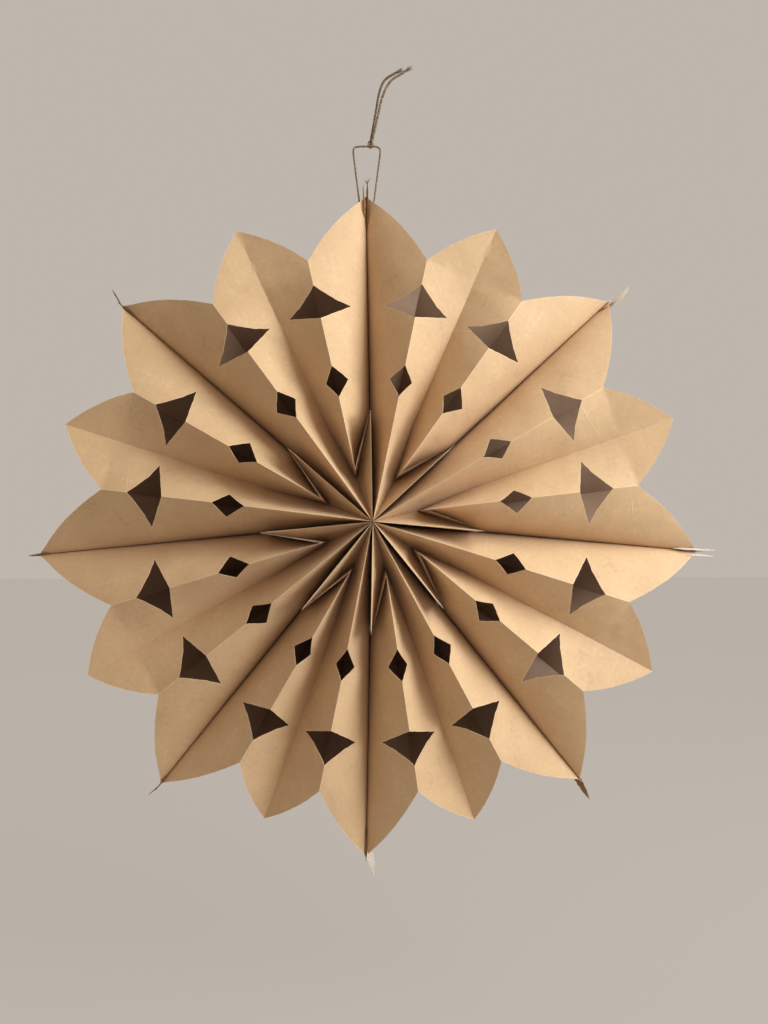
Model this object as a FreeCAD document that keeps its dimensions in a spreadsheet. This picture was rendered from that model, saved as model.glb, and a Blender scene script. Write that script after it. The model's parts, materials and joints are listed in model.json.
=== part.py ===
import FreeCAD, Part
import math
import os

# Hanging paper snowflake folded from eight kraft lunch bags.
#
# Eight equal block-bottom bags lie flat, are glued one on the next along the bottom
# and the centre line, and are cut through all layers: a diamond and a kite out of each
# side fold, and a mouth cut to a point.  Then the stack is fanned round until the last
# bag meets the first.  Each bag is one sheet of paper and one solid.  A loop of twine
# goes through a hole at the tip of the top seam.
#
# Frame: +Z up, the star's plane is XZ, its front looks along -Y.  The origin is where
# the twine loop hangs.  Lengths are in millimetres, angles in degrees.
#
# A place on a flat bag is (run, side): run is the distance from the bottom fold, which
# becomes the hub, and side the distance from the side fold, which becomes a ridge.  In
# an opened bag, forward runs out along a seam, across leads from the seam into the bag
# and depth is the distance in front of the star's middle plane.

Vector = FreeCAD.Vector

BAG_COUNT = 8
FRONT, BACK = 1, -1       # halves of the star, each with one side fold of every bag
WELD = 1e-4               # corners nearer than this are one corner
MITER_LIMIT = 4.0         # longest corner of the thickened sheet, in half thicknesses
CONE_STEPS = 240          # steps that turn a corner's direction between its faces
SEWING_TOLERANCE = 1e-5
VOLUME_TOLERANCE = 0.06   # a thickened sheet against its area times its thickness
ARC_SHARE = 0.45          # how much of the shorter run an arc of the twine takes

SIZES = (
    ("bag_width", 130.0),            # flat bag, side fold to side fold
    ("bag_gusset", 82.0),            # full depth of the block bottom
    ("bag_length", 270.0),           # flat bag, bottom fold to the tip of the cut mouth
    ("paper_thickness", 0.2),
    ("layer_gap", 0.2),              # air between two folded layers
    ("glue_half_width", 5.0),        # half of the flat strip glued along the centre line
    ("flap_release", 8.0),           # run in which the face comes down off the bottom flap
    ("bottom_to_diamond", 13.0),     # end of the bottom flap to the diamond, on the fold
    ("diamond_height", 24.5),        # opening of the diamond on the fold
    ("diamond_tip_rise", 15.0),      # inner corner of the diamond to the level of its tip
    ("diamond_reach", 15.2),
    ("back_diamond_height", 16.5),   # the same cut on the other side fold, the star's back
    ("back_diamond_tip_rise", 8.0),
    ("diamond_to_kite", 39.0),       # paper left on the fold between the two cuts
    ("kite_height", 28.0),
    ("kite_tip_rise", 12.0),
    ("kite_reach", 31.0),
    ("kite_waist", 1.5),             # how far the kite's outer edge bends inward
    ("kite_to_notch", 21.0),         # paper left on the fold beyond the kite
    ("kite_to_back_notch", 30.5),    # the same on the other side fold, the star's back
    ("gusset_tip_rise", 43.5),       # mouth of the gusset, fold to its inner crease
    ("face_rim_bulge", 5.0),
    ("gusset_rim_bulge", 2.4),
    ("ridge_drop", 24.0),            # how far a ridge sinks from the hub to the notch
    ("bow_depth", 34.0),             # how far from the seam a face bends, at the hub
    ("bow_drop", 13.0),              # and how much of that is lost at the notch
    ("fold_spring", 4.0),            # how far the bottom flap holds its face off the seam
    ("valley_setback", 6.5),         # inner end of the gusset's crease, hubward of the flap's fold
    ("gusset_spread", 0.975),        # spread of the widest gusset, 1 is quite flat
    ("first_seam_angle", 91.0),
    ("fan_angle_1", 48.0),
    ("fan_angle_2", 46.5),
    ("fan_angle_3", 45.5),
    ("fan_angle_4", 38.0),
    ("fan_angle_5", 40.0),
    ("fan_angle_6", 46.0),
    ("fan_angle_7", 48.0),
    ("hang_drop", 310.0),            # loop top down to the hub
    ("hub_side", 4.0),               # hub to the right of the loop top
    ("twine_diameter", 1.8),
    ("twine_hole_diameter", 4.0),
    ("twine_hole_run", 233.0),       # bottom fold to the hole
    ("twine_clearance", 0.06),
    ("knot_diameter", 6.8),
)

# Twine, as (x, y, z) in the part's frame.  Only the turn through the hole is computed.
LOOP_TOP_RIGHT = ((3.9, 0.0, 0.0), (9.3, 0.0, 0.0), (11.6, 0.0, -2.4))
LOOP_TOP_LEFT = ((-11.4, 0.0, -2.4), (-9.0, 0.0, 0.0), (2.5, 0.0, 0.0))
LONG_TAIL = ((4.2, -1.3, 2.6), (9.2, -1.9, 24.0), (13.0, -2.6, 42.0), (19.5, -3.2, 54.0),
             (27.5, -2.8, 59.0), (35.8, -2.0, 65.0))
SHORT_TAIL = ((2.8, 1.3, 2.6), (7.0, 1.6, 25.0), (10.0, 2.0, 46.0), (14.0, 1.6, 56.5),
              (20.5, 1.0, 61.0), (28.5, 0.0, 64.6))
KNOT_CENTRE = (3.2, 0.0, 1.6)


def make_sheet(document):
    """Put every driving size into the spreadsheet, each under its own name."""
    sheet = document.addObject("Spreadsheet::Sheet", "Sizes")
    for number, (alias, value) in enumerate(SIZES, start=1):
        sheet.set("A%d" % number, alias.replace("_", " "))
        sheet.set("B%d" % number, "%g" % value)
        sheet.setAlias("B%d" % number, alias)
    document.recompute()
    return sheet


class FlatPattern:
    """Edges that the scissors left on the flat bag, run against side."""

    def __init__(self, sheet):
        self.half_width = sheet.bag_width / 2
        self.gusset = sheet.bag_gusset / 2
        self.flap = sheet.bag_gusset
        self.length = sheet.bag_length
        self.diamond_inner = self.flap + sheet.bottom_to_diamond
        self.diamond_outer = self.diamond_inner + sheet.diamond_height
        self.diamond_tip = self.diamond_inner + sheet.diamond_tip_rise
        self.diamond_reach = sheet.diamond_reach
        self.back_diamond_outer = self.diamond_inner + sheet.back_diamond_height
        self.back_diamond_tip = self.diamond_inner + sheet.back_diamond_tip_rise
        self.kite_inner = self.diamond_outer + sheet.diamond_to_kite
        self.kite_outer = self.kite_inner + sheet.kite_height
        self.kite_tip = self.kite_inner + sheet.kite_tip_rise
        self.kite_reach = sheet.kite_reach
        self.kite_waist = sheet.kite_waist
        self.notch = self.kite_outer + sheet.kite_to_notch
        self.back_notch = self.kite_outer + sheet.kite_to_back_notch
        self.gusset_tip = self.notch + sheet.gusset_tip_rise
        self.face_bulge = sheet.face_rim_bulge
        self.gusset_bulge = sheet.gusset_rim_bulge

    @staticmethod
    def cut_edge(side, on_fold, at_tip, reach, bulge=0.0):
        """One edge of a cut, from the fold to the tip of the cut and level beyond it."""
        share = min(side / reach, 1.0)
        return on_fold + (at_tip - on_fold) * share + 4 * bulge * share * (1 - share)

    def diamond(self, on_fold, at_tip):
        """Edge of a diamond, led on from its tip to the level of the front diamond's."""
        def edge(side):
            past = max(0.0, min((side - self.diamond_reach)
                                / (self.kite_reach - self.diamond_reach), 1.0))
            return (self.cut_edge(side, on_fold, at_tip, self.diamond_reach)
                    + (self.diamond_tip - at_tip) * past)
        return edge

    def kite_near(self, side):
        return self.cut_edge(side, self.kite_inner, self.kite_tip, self.kite_reach)

    def kite_far(self, side):
        return self.cut_edge(side, self.kite_outer, self.kite_tip, self.kite_reach,
                             -self.kite_waist)

    def face_rim(self, notch):
        """Edge of the mouth on a wide face, from its notch on the fold."""
        return lambda side: self.cut_edge(side, notch, self.length, self.half_width,
                                          self.face_bulge)

    def gusset_rim(self, notch):
        return lambda side: self.cut_edge(side, notch, self.gusset_tip, self.gusset,
                                          self.gusset_bulge)

    def outer_rows(self, half, rim):
        """Rows of the sheet beyond the bottom flap; True marks one with a cut before it."""
        def shoulder(side):
            return (self.kite_far(side) + rim(side)) / 2
        tip, outer = ((self.diamond_tip, self.diamond_outer) if half == FRONT
                      else (self.back_diamond_tip, self.back_diamond_outer))
        return [(self.diamond(self.diamond_inner, tip), False),
                (self.diamond(outer, tip), True),
                (self.kite_near, False), (self.kite_far, True),
                (shoulder, False), (rim, False)]


class OpenedBag:
    """Where each place of the flat bag comes to lie when the bag is fanned open."""

    def __init__(self, sheet, pattern, fan, widest_fan):
        self.pattern = pattern
        self.fan = math.radians(fan)
        self.start = sheet.paper_thickness / 2
        self.layer = sheet.paper_thickness + sheet.layer_gap
        self.glue = sheet.glue_half_width
        self.release = sheet.flap_release
        self.ridge_drop = sheet.ridge_drop
        self.bow_depth = sheet.bow_depth
        self.bow_drop = sheet.bow_drop
        self.spring = sheet.fold_spring
        self.valley_setback = sheet.valley_setback
        self.hub = self.start / math.tan(self.fan / 2)
        notch_radius = self.plan_radius(pattern.notch)
        spread = sheet.gusset_spread * pattern.gusset / notch_radius
        self.opening = math.asin(spread) * fan / widest_fan
        self.lean = self.fan / 2 - self.opening
        half_gap = notch_radius * math.sin(self.opening)
        self.gusset_height = math.sqrt(pattern.gusset ** 2 - half_gap ** 2)

    def plan_radius(self, run):
        """Distance from the hub in the star's plane of a place on a ridge."""
        slope = self.ridge_drop / self.pattern.notch ** 2
        return run - 2.0 / 3.0 * slope ** 2 * run ** 3

    def ridge_depth(self, run):
        return self.pattern.half_width - self.ridge_drop * (run / self.pattern.notch) ** 2

    def crease_depth(self, run):
        at_hub = self.pattern.half_width - self.pattern.gusset
        at_notch = self.ridge_depth(self.pattern.notch) - self.gusset_height
        return at_hub + (at_notch - at_hub) * (run / self.pattern.notch) ** 2

    def place(self, near_seam, forward, across, depth):
        """Point of the bag's own frame, measured from its first or its second seam."""
        forward = max(forward, self.hub)
        if near_seam:
            return Vector(forward, -depth, across)
        cosine, sine = math.cos(self.fan), math.sin(self.fan)
        return Vector(forward * cosine + across * sine, -depth,
                      forward * sine - across * cosine)

    def ridge(self, near_seam, run):
        """Forward, across and depth of a place on the fold at the side of the bag."""
        radius = self.plan_radius(run)
        across = self.start + radius * math.sin(self.lean)
        if near_seam:
            across += self.spring * (1 - run / self.pattern.notch)
        return radius * math.cos(self.lean), across, self.ridge_depth(run)

    def seam_offset(self, near_seam, run):
        """Height of a face over the seam's plane along the glued centre line."""
        if not near_seam:
            return self.start
        on_flap = 1 - (run - self.pattern.flap) / self.release
        return self.start + 2 * self.layer * min(max(on_flap, 0.0), 1.0)

    def flap_fold(self, side):
        """Place on the straight fold where the raised flap turns into the first face."""
        run = self.pattern.gusset
        forward, across, depth = self.ridge(True, run)
        rise = across - self.start - self.layer
        centre = self.pattern.flap - math.sqrt((self.pattern.flap - run) ** 2 - rise ** 2)
        share = side / self.pattern.half_width
        return self.place(True, forward + (centre - forward) * share, across,
                          depth * (1 - share))

    def face(self, near_seam, run, side):
        """Place on one of the two wide faces: flat on the glue, then bowed to the ridge."""
        if near_seam and run <= self.pattern.gusset:
            return self.flap_fold(side)
        offset = self.seam_offset(near_seam, run)
        from_centre = self.pattern.half_width - side
        if from_centre <= self.glue:
            return self.place(near_seam, run, offset, from_centre)
        ends = ((run, offset, self.glue),
                (run, offset, self.bow_depth - self.bow_drop * (run / self.pattern.notch) ** 2),
                self.ridge(near_seam, run))
        stretch = math.sqrt(math.dist(ends[1], ends[2]) / math.dist(ends[0], ends[1]))
        share = (from_centre - self.glue) / (self.pattern.half_width - self.glue)
        turn = stretch * share / (1 + (stretch - 1) * share)
        weights = ((1 - turn) ** 2, 2 * turn * (1 - turn), turn ** 2)
        spot = [sum(weight * end[axis] for weight, end in zip(weights, ends))
                for axis in range(3)]
        return self.place(near_seam, *spot)

    def crease(self, run):
        radius = self.plan_radius(run)
        half = self.fan / 2
        return Vector(radius * math.cos(half), -self.crease_depth(run),
                      radius * math.sin(half))

    def valley(self):
        """Inner end of the gusset's crease, where it goes round the flap's fold."""
        fold = self.flap_fold(self.pattern.gusset)
        return Vector(fold.x - self.valley_setback, -self.crease_depth(self.pattern.gusset),
                      fold.z - self.layer)

    def gusset(self, near_seam, run, side, notch):
        """Place on one half of a side gusset, straight from the ridge to the crease."""
        forward, across, depth = self.ridge(near_seam, run)
        if run > notch:
            depth = self.crease_depth(run) + self.ridge_depth(notch) - self.crease_depth(notch)
        fold = self.place(near_seam, forward, across, depth)
        if run > self.pattern.gusset:
            return fold + (self.crease(run) - fold) * (side / self.pattern.gusset)
        if run == 0:
            return fold
        corner = self.place(False, *self.ridge(False, 0.0))
        diagonal = corner + (self.valley() - corner) * (run / self.pattern.gusset)
        return fold + (diagonal - fold) * (side / run)


class PaperSheet:
    """A bent sheet of paper as triangles, each edge shared by two unless it is cut."""

    def __init__(self):
        self.points = []
        self.index = {}
        self.triangles = []

    def corner(self, point):
        key = tuple(round(value / WELD) for value in point)
        if key not in self.index:
            self.index[key] = len(self.points)
            self.points.append(Vector(point))
        return self.index[key]

    def add_triangle(self, first, second, third, halves=(FRONT, BACK)):
        for mirror in halves:
            triangle = tuple(self.corner(Vector(p.x, p.y * mirror, p.z))
                             for p in (first, second, third))
            if len(set(triangle)) == 3:
                self.triangles.append(triangle)

    def add_band(self, lower, upper, halves=(FRONT, BACK)):
        """Fill between two rows; where the rows meet there is nothing to fill."""
        for left in range(len(lower) - 1):
            right = left + 1
            self.add_triangle(lower[left], lower[right], upper[right], halves)
            self.add_triangle(lower[left], upper[right], upper[left], halves)

    def add_fan(self, apex, row):
        for left in range(len(row) - 1):
            self.add_triangle(apex, row[left], row[left + 1])

    def normal(self, triangle):
        a, b, c = (self.points[corner] for corner in triangle)
        return (b - a).cross(c - a)

    def area(self):
        return sum(self.normal(triangle).Length for triangle in self.triangles) / 2

    def turn_all_one_way(self):
        """Turn the triangles so that one side of the sheet is its outside throughout."""
        users = {}
        for number, triangle in enumerate(self.triangles):
            for corner in range(3):
                edge = frozenset((triangle[corner], triangle[(corner + 1) % 3]))
                users.setdefault(edge, []).append(number)
        done = {0}
        waiting = [0]
        while waiting:
            triangle = self.triangles[waiting.pop()]
            for corner in range(3):
                start, end = triangle[corner], triangle[(corner + 1) % 3]
                for other in users[frozenset((start, end))]:
                    if other in done:
                        continue
                    a, b, c = self.triangles[other]
                    if (start, end) in ((a, b), (b, c), (c, a)):
                        self.triangles[other] = (a, c, b)
                    done.add(other)
                    waiting.append(other)
        if len(done) != len(self.triangles):
            raise RuntimeError("the sheet is not in one piece")

    def corner_directions(self):
        """At each corner, the direction that leans least away from all faces there."""
        normals = [[] for _ in self.points]
        for triangle in self.triangles:
            normal = self.normal(triangle).normalize()
            for corner in triangle:
                normals[corner].append(normal)
        directions = []
        for around in normals:
            total = Vector(0, 0, 0)
            for normal in around:
                total += normal
            direction = total.normalize()
            for step in range(CONE_STEPS):
                worst = min(around, key=direction.dot)
                direction = (direction + worst / (step + 2)).normalize()
            nearest = max(min(direction.dot(normal) for normal in around), 1 / MITER_LIMIT)
            directions.append(direction / nearest)
        return directions

    def thick_facets(self, thickness):
        """Closed skin with half the thickness on either side of the sheet."""
        self.turn_all_one_way()
        count = len(self.points)
        directions = self.corner_directions()
        half = thickness / 2
        points = [p + d * half for p, d in zip(self.points, directions)]
        points += [p - d * half for p, d in zip(self.points, directions)]
        facets = []
        open_edges = {}
        for a, b, c in self.triangles:
            facets.append((a, b, c))
            facets.append((a + count, c + count, b + count))
            for start, end in ((a, b), (b, c), (c, a)):
                if (end, start) in open_edges:
                    del open_edges[(end, start)]
                else:
                    open_edges[(start, end)] = True
        for start, end in open_edges:
            facets.append((end, start, start + count))
            facets.append((end, start + count, end + count))
        return points, facets

    def thicken(self, thickness):
        """The sheet as a solid of that thickness."""
        points, facets = self.thick_facets(thickness)
        shape = Part.Shape()
        shape.makeShapeFromMesh((points, facets), SEWING_TOLERANCE)
        solid = Part.Solid(Part.Shell(shape.Faces))
        if solid.Volume < 0:
            solid.reverse()
        expected = self.area() * thickness
        if abs(solid.Volume - expected) > VOLUME_TOLERANCE * expected:
            raise RuntimeError("sheet volume %.1f, expected %.1f" % (solid.Volume, expected))
        return solid


def fold_bag(pattern, bag):
    """Sheet of one opened bag: bottom, faces and gussets, folded as the bag is."""
    half_width, gusset, flap = pattern.half_width, pattern.gusset, pattern.flap
    sheet = PaperSheet()
    bow_side = (pattern.kite_reach + half_width - bag.glue) / 2
    face_sides = [0.0, pattern.diamond_reach, pattern.kite_reach, bow_side,
                  half_width - bag.glue, half_width]
    gusset_sides = [0.0, pattern.diamond_reach, pattern.kite_reach, gusset]

    def level(run):
        return lambda side: run

    def add_rows(place, sides, rows, half):
        below = None
        for run_at, cut_before in rows:
            row = [place(run_at(side), side) for side in sides]
            if below is not None and not cut_before:
                sheet.add_band(below, row, (half,))
            below = row

    on_flap = [(level(gusset), False), (level(flap), False),
               (level(flap + bag.release), False)]
    for near_seam in (True, False):
        for half, notch in ((FRONT, pattern.notch), (BACK, pattern.back_notch)):
            inner = [] if near_seam else [(level(0.0), False)]
            add_rows(lambda run, side: bag.face(near_seam, run, side), face_sides,
                     inner + on_flap + pattern.outer_rows(half, pattern.face_rim(notch)),
                     half)
            inner = [] if near_seam else [(lambda side: side, False)]
            add_rows(lambda run, side: bag.gusset(near_seam, run, side, notch),
                     gusset_sides,
                     inner + on_flap + pattern.outer_rows(half, pattern.gusset_rim(notch)),
                     half)

    hub_row = [bag.face(False, 0.0, side) for side in face_sides]
    bottom_end = [bag.place(True, flap, bag.start, half_width - side) for side in face_sides]
    strip_end = [point + Vector(0, 0, bag.layer) for point in bottom_end]
    face_start = [bag.face(True, gusset, side) for side in face_sides]
    strip_start = [point - Vector(0, 0, bag.layer) for point in face_start]
    for lower, upper in ((hub_row, bottom_end), (bottom_end, strip_end),
                         (strip_end, strip_start), (strip_start, face_start)):
        sheet.add_band(lower, upper)

    valley = bag.valley()
    diagonal = [bag.gusset(False, side, side, pattern.notch) for side in gusset_sides]
    gusset_start = [bag.gusset(True, gusset, side, pattern.notch) for side in gusset_sides]
    sheet.add_fan(bottom_end[0], diagonal)
    sheet.add_triangle(bottom_end[0], strip_end[0], valley)
    sheet.add_triangle(strip_end[0], strip_start[0], valley)
    sheet.add_fan(strip_start[0], gusset_start)
    return sheet


def twine_tube(route, diameter):
    """Round tube along straight runs joined by tangent arcs."""
    route = [Vector(*point) for point in route]
    edges = []
    radii = []
    last = route[0]
    for before, corner, after in zip(route, route[1:], route[2:]):
        back, ahead = before - corner, after - corner
        turn = math.pi - back.getAngle(ahead)
        reach = ARC_SHARE * min(back.Length, ahead.Length)
        radius = reach / math.tan(turn / 2)
        radii.append(radius)
        start = corner + back.normalize() * reach
        end = corner + ahead.normalize() * reach
        chord = (start + end) / 2
        middle = chord + (corner - chord).normalize() * radius * (1 - math.cos(turn / 2))
        edges.append(Part.LineSegment(last, start).toShape())
        edges.append(Part.Arc(start, middle, end).toShape())
        last = end
    edges.append(Part.LineSegment(last, route[-1]).toShape())
    path = Part.Wire(edges)
    circle = Part.makeCircle(diameter / 2, route[0], route[1] - route[0])
    tube = path.makePipeShell([Part.Wire(circle)], True, False)
    section = math.pi * diameter ** 2 / 4
    if abs(tube.Volume - section * path.Length) > 0.01 * section * path.Length:
        raise RuntimeError("twine volume %.1f, expected %.1f"
                           % (tube.Volume, section * path.Length))
    print("twine run %.0f mm, arc radii %s mm"
          % (path.Length, ", ".join("%.1f" % radius for radius in radii)))
    return tube


def seam_point(sheet, run):
    """Point of the star on the top seam's centre line."""
    angle = math.radians(sheet.first_seam_angle)
    return Vector(sheet.hub_side + run * math.cos(angle), 0,
                  -sheet.hang_drop + run * math.sin(angle))


def loop_route(sheet):
    """Twine from the knot through the hole, bearing on the hole's upper edge, and back."""
    hole = seam_point(sheet, sheet.twine_hole_run)
    radius = sheet.twine_diameter / 2
    rest = hole.z + sheet.twine_hole_diameter / 2 - radius - sheet.twine_clearance
    half_turn = sheet.twine_diameter + 2 * sheet.paper_thickness
    turn = ((hole.x + half_turn, 0.0, rest), (hole.x - half_turn, 0.0, rest))
    return LOOP_TOP_RIGHT + turn + LOOP_TOP_LEFT


def make_twine(document, sheet):
    """The knotted loop with its two free tails, one piece of twine."""
    tubes = [twine_tube(route, sheet.twine_diameter)
             for route in (loop_route(sheet), LONG_TAIL, SHORT_TAIL)]
    feature = document.addObject("Part::Feature", "Strands")
    feature.Shape = tubes[0].multiFuse(tubes[1:])
    feature.Placement = FreeCAD.Placement()
    knot = document.addObject("Part::Sphere", "Knot")
    knot.setExpression("Radius", "Sizes.knot_diameter / 2")
    knot.Placement = FreeCAD.Placement(Vector(*KNOT_CENTRE), FreeCAD.Rotation())
    twine = document.addObject("Part::Fuse", "Twine")
    twine.Base = feature
    twine.Tool = knot
    twine.Label = "twine"
    return twine


def make_hole_cutter(document, sheet):
    """Cylinder across the top seam, long enough for the two strips glued there."""
    cutter = document.addObject("Part::Cylinder", "TwineHole")
    cutter.setExpression("Radius", "Sizes.twine_hole_diameter / 2")
    cutter.setExpression("Height", "8 * Sizes.paper_thickness")
    across = FreeCAD.Rotation(Vector(0, 0, 1), Vector(1, 0, 0))
    turned = FreeCAD.Rotation(Vector(0, -1, 0), sheet.first_seam_angle - 90)
    rotation = turned.multiply(across)
    start = rotation.multVec(Vector(0, 0, -4 * sheet.paper_thickness))
    centre = seam_point(sheet, sheet.twine_hole_run)
    cutter.Placement = FreeCAD.Placement(centre + start, rotation)
    return cutter


def make_bags(document, sheet):
    """The eight bags round the hub, the first and the last pierced for the twine."""
    pattern = FlatPattern(sheet)
    fans = [sheet.get("fan_angle_%d" % number) for number in range(1, BAG_COUNT)]
    fans.append(360 - sum(fans))
    cutter = make_hole_cutter(document, sheet)
    hub = Vector(sheet.hub_side, 0, -sheet.hang_drop)
    angle = sheet.first_seam_angle
    bags = []
    for number, fan in enumerate(fans, start=1):
        opened = OpenedBag(sheet, pattern, fan, max(fans))
        folded = document.addObject("Part::Feature", "Folded%d" % number)
        folded.Shape = fold_bag(pattern, opened).thicken(sheet.paper_thickness)
        folded.Placement = FreeCAD.Placement(hub, FreeCAD.Rotation(Vector(0, -1, 0), angle))
        bag = folded
        if number in (1, BAG_COUNT):
            bag = document.addObject("Part::Cut", "Pierced%d" % number)
            bag.Base = folded
            bag.Tool = cutter
        bag.Label = "bag_%d" % number
        bags.append(bag)
        angle += fan
    return bags


def check(document, parts):
    """Stop before anything is written if an object failed or a part is not one solid."""
    for item in document.Objects:
        if "Invalid" in item.State or "Error" in item.State:
            raise RuntimeError("%s failed: %s" % (item.Name, item.State))
    for part in parts:
        shape = part.Shape
        if shape.isNull() or not shape.isValid() or len(shape.Solids) != 1:
            raise RuntimeError("%s is not one valid solid" % part.Label)


def main():
    document = FreeCAD.newDocument("PaperSnowflake")
    sheet = make_sheet(document)
    parts = make_bags(document, sheet) + [make_twine(document, sheet)]
    document.recompute()
    check(document, parts)
    os.makedirs("parts", exist_ok=True)
    for part in parts:
        part.Shape.exportStep(os.path.join("parts", part.Label + ".step"))
        print("%s: %.0f mm3, %d faces" % (part.Label, part.Shape.Volume,
                                          len(part.Shape.Faces)))


main()
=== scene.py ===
import json
import logging
import math
import random
from collections.abc import Callable, Iterable, Sequence
from dataclasses import dataclass, field
from enum import Enum
from typing import ClassVar

import bpy
from mathutils import Matrix, Vector, noise
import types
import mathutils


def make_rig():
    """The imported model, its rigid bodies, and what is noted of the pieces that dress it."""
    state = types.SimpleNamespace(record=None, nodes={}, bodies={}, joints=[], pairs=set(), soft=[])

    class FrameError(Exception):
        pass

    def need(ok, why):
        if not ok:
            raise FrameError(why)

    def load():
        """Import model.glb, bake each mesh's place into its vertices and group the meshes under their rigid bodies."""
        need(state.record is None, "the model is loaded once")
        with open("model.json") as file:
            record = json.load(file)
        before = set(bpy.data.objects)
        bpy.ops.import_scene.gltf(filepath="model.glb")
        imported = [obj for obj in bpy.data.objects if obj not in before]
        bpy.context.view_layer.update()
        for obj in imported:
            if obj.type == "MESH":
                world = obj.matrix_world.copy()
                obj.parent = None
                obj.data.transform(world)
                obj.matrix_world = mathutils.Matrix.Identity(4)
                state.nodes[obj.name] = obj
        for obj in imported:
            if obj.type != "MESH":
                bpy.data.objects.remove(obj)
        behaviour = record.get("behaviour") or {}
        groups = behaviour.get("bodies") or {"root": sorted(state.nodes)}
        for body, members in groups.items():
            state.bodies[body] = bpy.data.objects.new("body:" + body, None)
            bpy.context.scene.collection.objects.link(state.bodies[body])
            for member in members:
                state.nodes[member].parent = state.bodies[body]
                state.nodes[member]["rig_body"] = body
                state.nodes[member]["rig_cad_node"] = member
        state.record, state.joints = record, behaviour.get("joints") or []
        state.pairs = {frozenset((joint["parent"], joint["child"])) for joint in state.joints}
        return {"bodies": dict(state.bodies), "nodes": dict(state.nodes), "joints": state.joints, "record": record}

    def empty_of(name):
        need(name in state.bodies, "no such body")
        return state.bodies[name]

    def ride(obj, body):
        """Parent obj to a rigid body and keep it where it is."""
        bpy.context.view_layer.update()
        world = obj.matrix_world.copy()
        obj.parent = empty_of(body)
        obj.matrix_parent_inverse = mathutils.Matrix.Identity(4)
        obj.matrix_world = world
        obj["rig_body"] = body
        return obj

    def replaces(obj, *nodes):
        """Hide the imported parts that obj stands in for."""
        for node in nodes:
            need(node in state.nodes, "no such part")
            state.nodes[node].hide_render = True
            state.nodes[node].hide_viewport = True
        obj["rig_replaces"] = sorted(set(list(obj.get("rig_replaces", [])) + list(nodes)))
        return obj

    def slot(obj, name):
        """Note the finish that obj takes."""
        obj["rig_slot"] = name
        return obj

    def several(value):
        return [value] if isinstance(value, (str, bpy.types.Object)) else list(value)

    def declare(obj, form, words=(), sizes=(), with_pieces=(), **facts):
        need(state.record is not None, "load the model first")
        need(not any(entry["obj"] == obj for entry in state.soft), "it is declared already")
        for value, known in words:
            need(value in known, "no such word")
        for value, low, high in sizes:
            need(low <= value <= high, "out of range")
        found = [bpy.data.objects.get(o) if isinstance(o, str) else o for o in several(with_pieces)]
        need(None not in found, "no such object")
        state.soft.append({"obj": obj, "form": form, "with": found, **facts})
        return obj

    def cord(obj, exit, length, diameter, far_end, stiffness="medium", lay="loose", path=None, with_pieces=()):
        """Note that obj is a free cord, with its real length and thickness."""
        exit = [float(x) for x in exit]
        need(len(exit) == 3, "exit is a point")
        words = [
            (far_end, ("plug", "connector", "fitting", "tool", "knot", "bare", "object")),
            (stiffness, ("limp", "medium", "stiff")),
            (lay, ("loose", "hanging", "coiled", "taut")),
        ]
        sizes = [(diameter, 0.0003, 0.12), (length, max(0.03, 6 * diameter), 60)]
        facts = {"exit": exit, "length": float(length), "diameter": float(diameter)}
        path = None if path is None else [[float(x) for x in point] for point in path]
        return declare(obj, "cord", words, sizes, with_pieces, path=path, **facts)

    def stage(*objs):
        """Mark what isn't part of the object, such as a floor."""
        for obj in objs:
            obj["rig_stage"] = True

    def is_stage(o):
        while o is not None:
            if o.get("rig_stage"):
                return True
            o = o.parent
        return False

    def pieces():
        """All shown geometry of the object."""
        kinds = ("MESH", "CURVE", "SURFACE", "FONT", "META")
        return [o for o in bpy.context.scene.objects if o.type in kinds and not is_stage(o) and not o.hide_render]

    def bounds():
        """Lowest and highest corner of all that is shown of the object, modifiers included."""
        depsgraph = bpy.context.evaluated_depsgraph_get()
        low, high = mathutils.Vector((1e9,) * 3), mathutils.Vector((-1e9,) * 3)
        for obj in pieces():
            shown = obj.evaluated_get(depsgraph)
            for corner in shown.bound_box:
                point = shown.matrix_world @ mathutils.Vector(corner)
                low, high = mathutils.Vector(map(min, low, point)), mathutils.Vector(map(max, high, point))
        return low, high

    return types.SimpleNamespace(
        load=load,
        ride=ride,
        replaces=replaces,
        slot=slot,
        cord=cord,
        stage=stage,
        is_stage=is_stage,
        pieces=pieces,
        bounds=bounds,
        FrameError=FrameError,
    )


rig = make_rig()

"""Paper snowflake folded from eight kraft lunch bags, dressed over its solids.

Each bag is laid out flat, in (run, side), and every place of it is then carried to
where it lies once the bag is fanned open.  Run is the distance from the hub's fold and
side the distance from the side fold.  Lengths are in metres.
"""

LOG = logging.getLogger("paper_snowflake")

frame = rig.load()
CAD_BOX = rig.bounds()

Point = Sequence[float]
Edge = Callable[[float], float]


# --------------------------------------------------------------------------- nodes


def fill(tree: bpy.types.NodeTree, target: bpy.types.NodeSocket, value: object) -> None:
    """Link a field or a socket to an input, or write a plain value into it."""
    if isinstance(value, Field):
        tree.links.new(value.socket, target)
    elif isinstance(value, bpy.types.NodeSocket):
        tree.links.new(value, target)
    else:
        target.default_value = value


def placed(name: str, data: bpy.types.ID) -> bpy.types.Object:
    """Put a new object with this data into the scene."""
    made = bpy.data.objects.new(name, data)
    bpy.context.scene.collection.objects.link(made)
    return made


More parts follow.
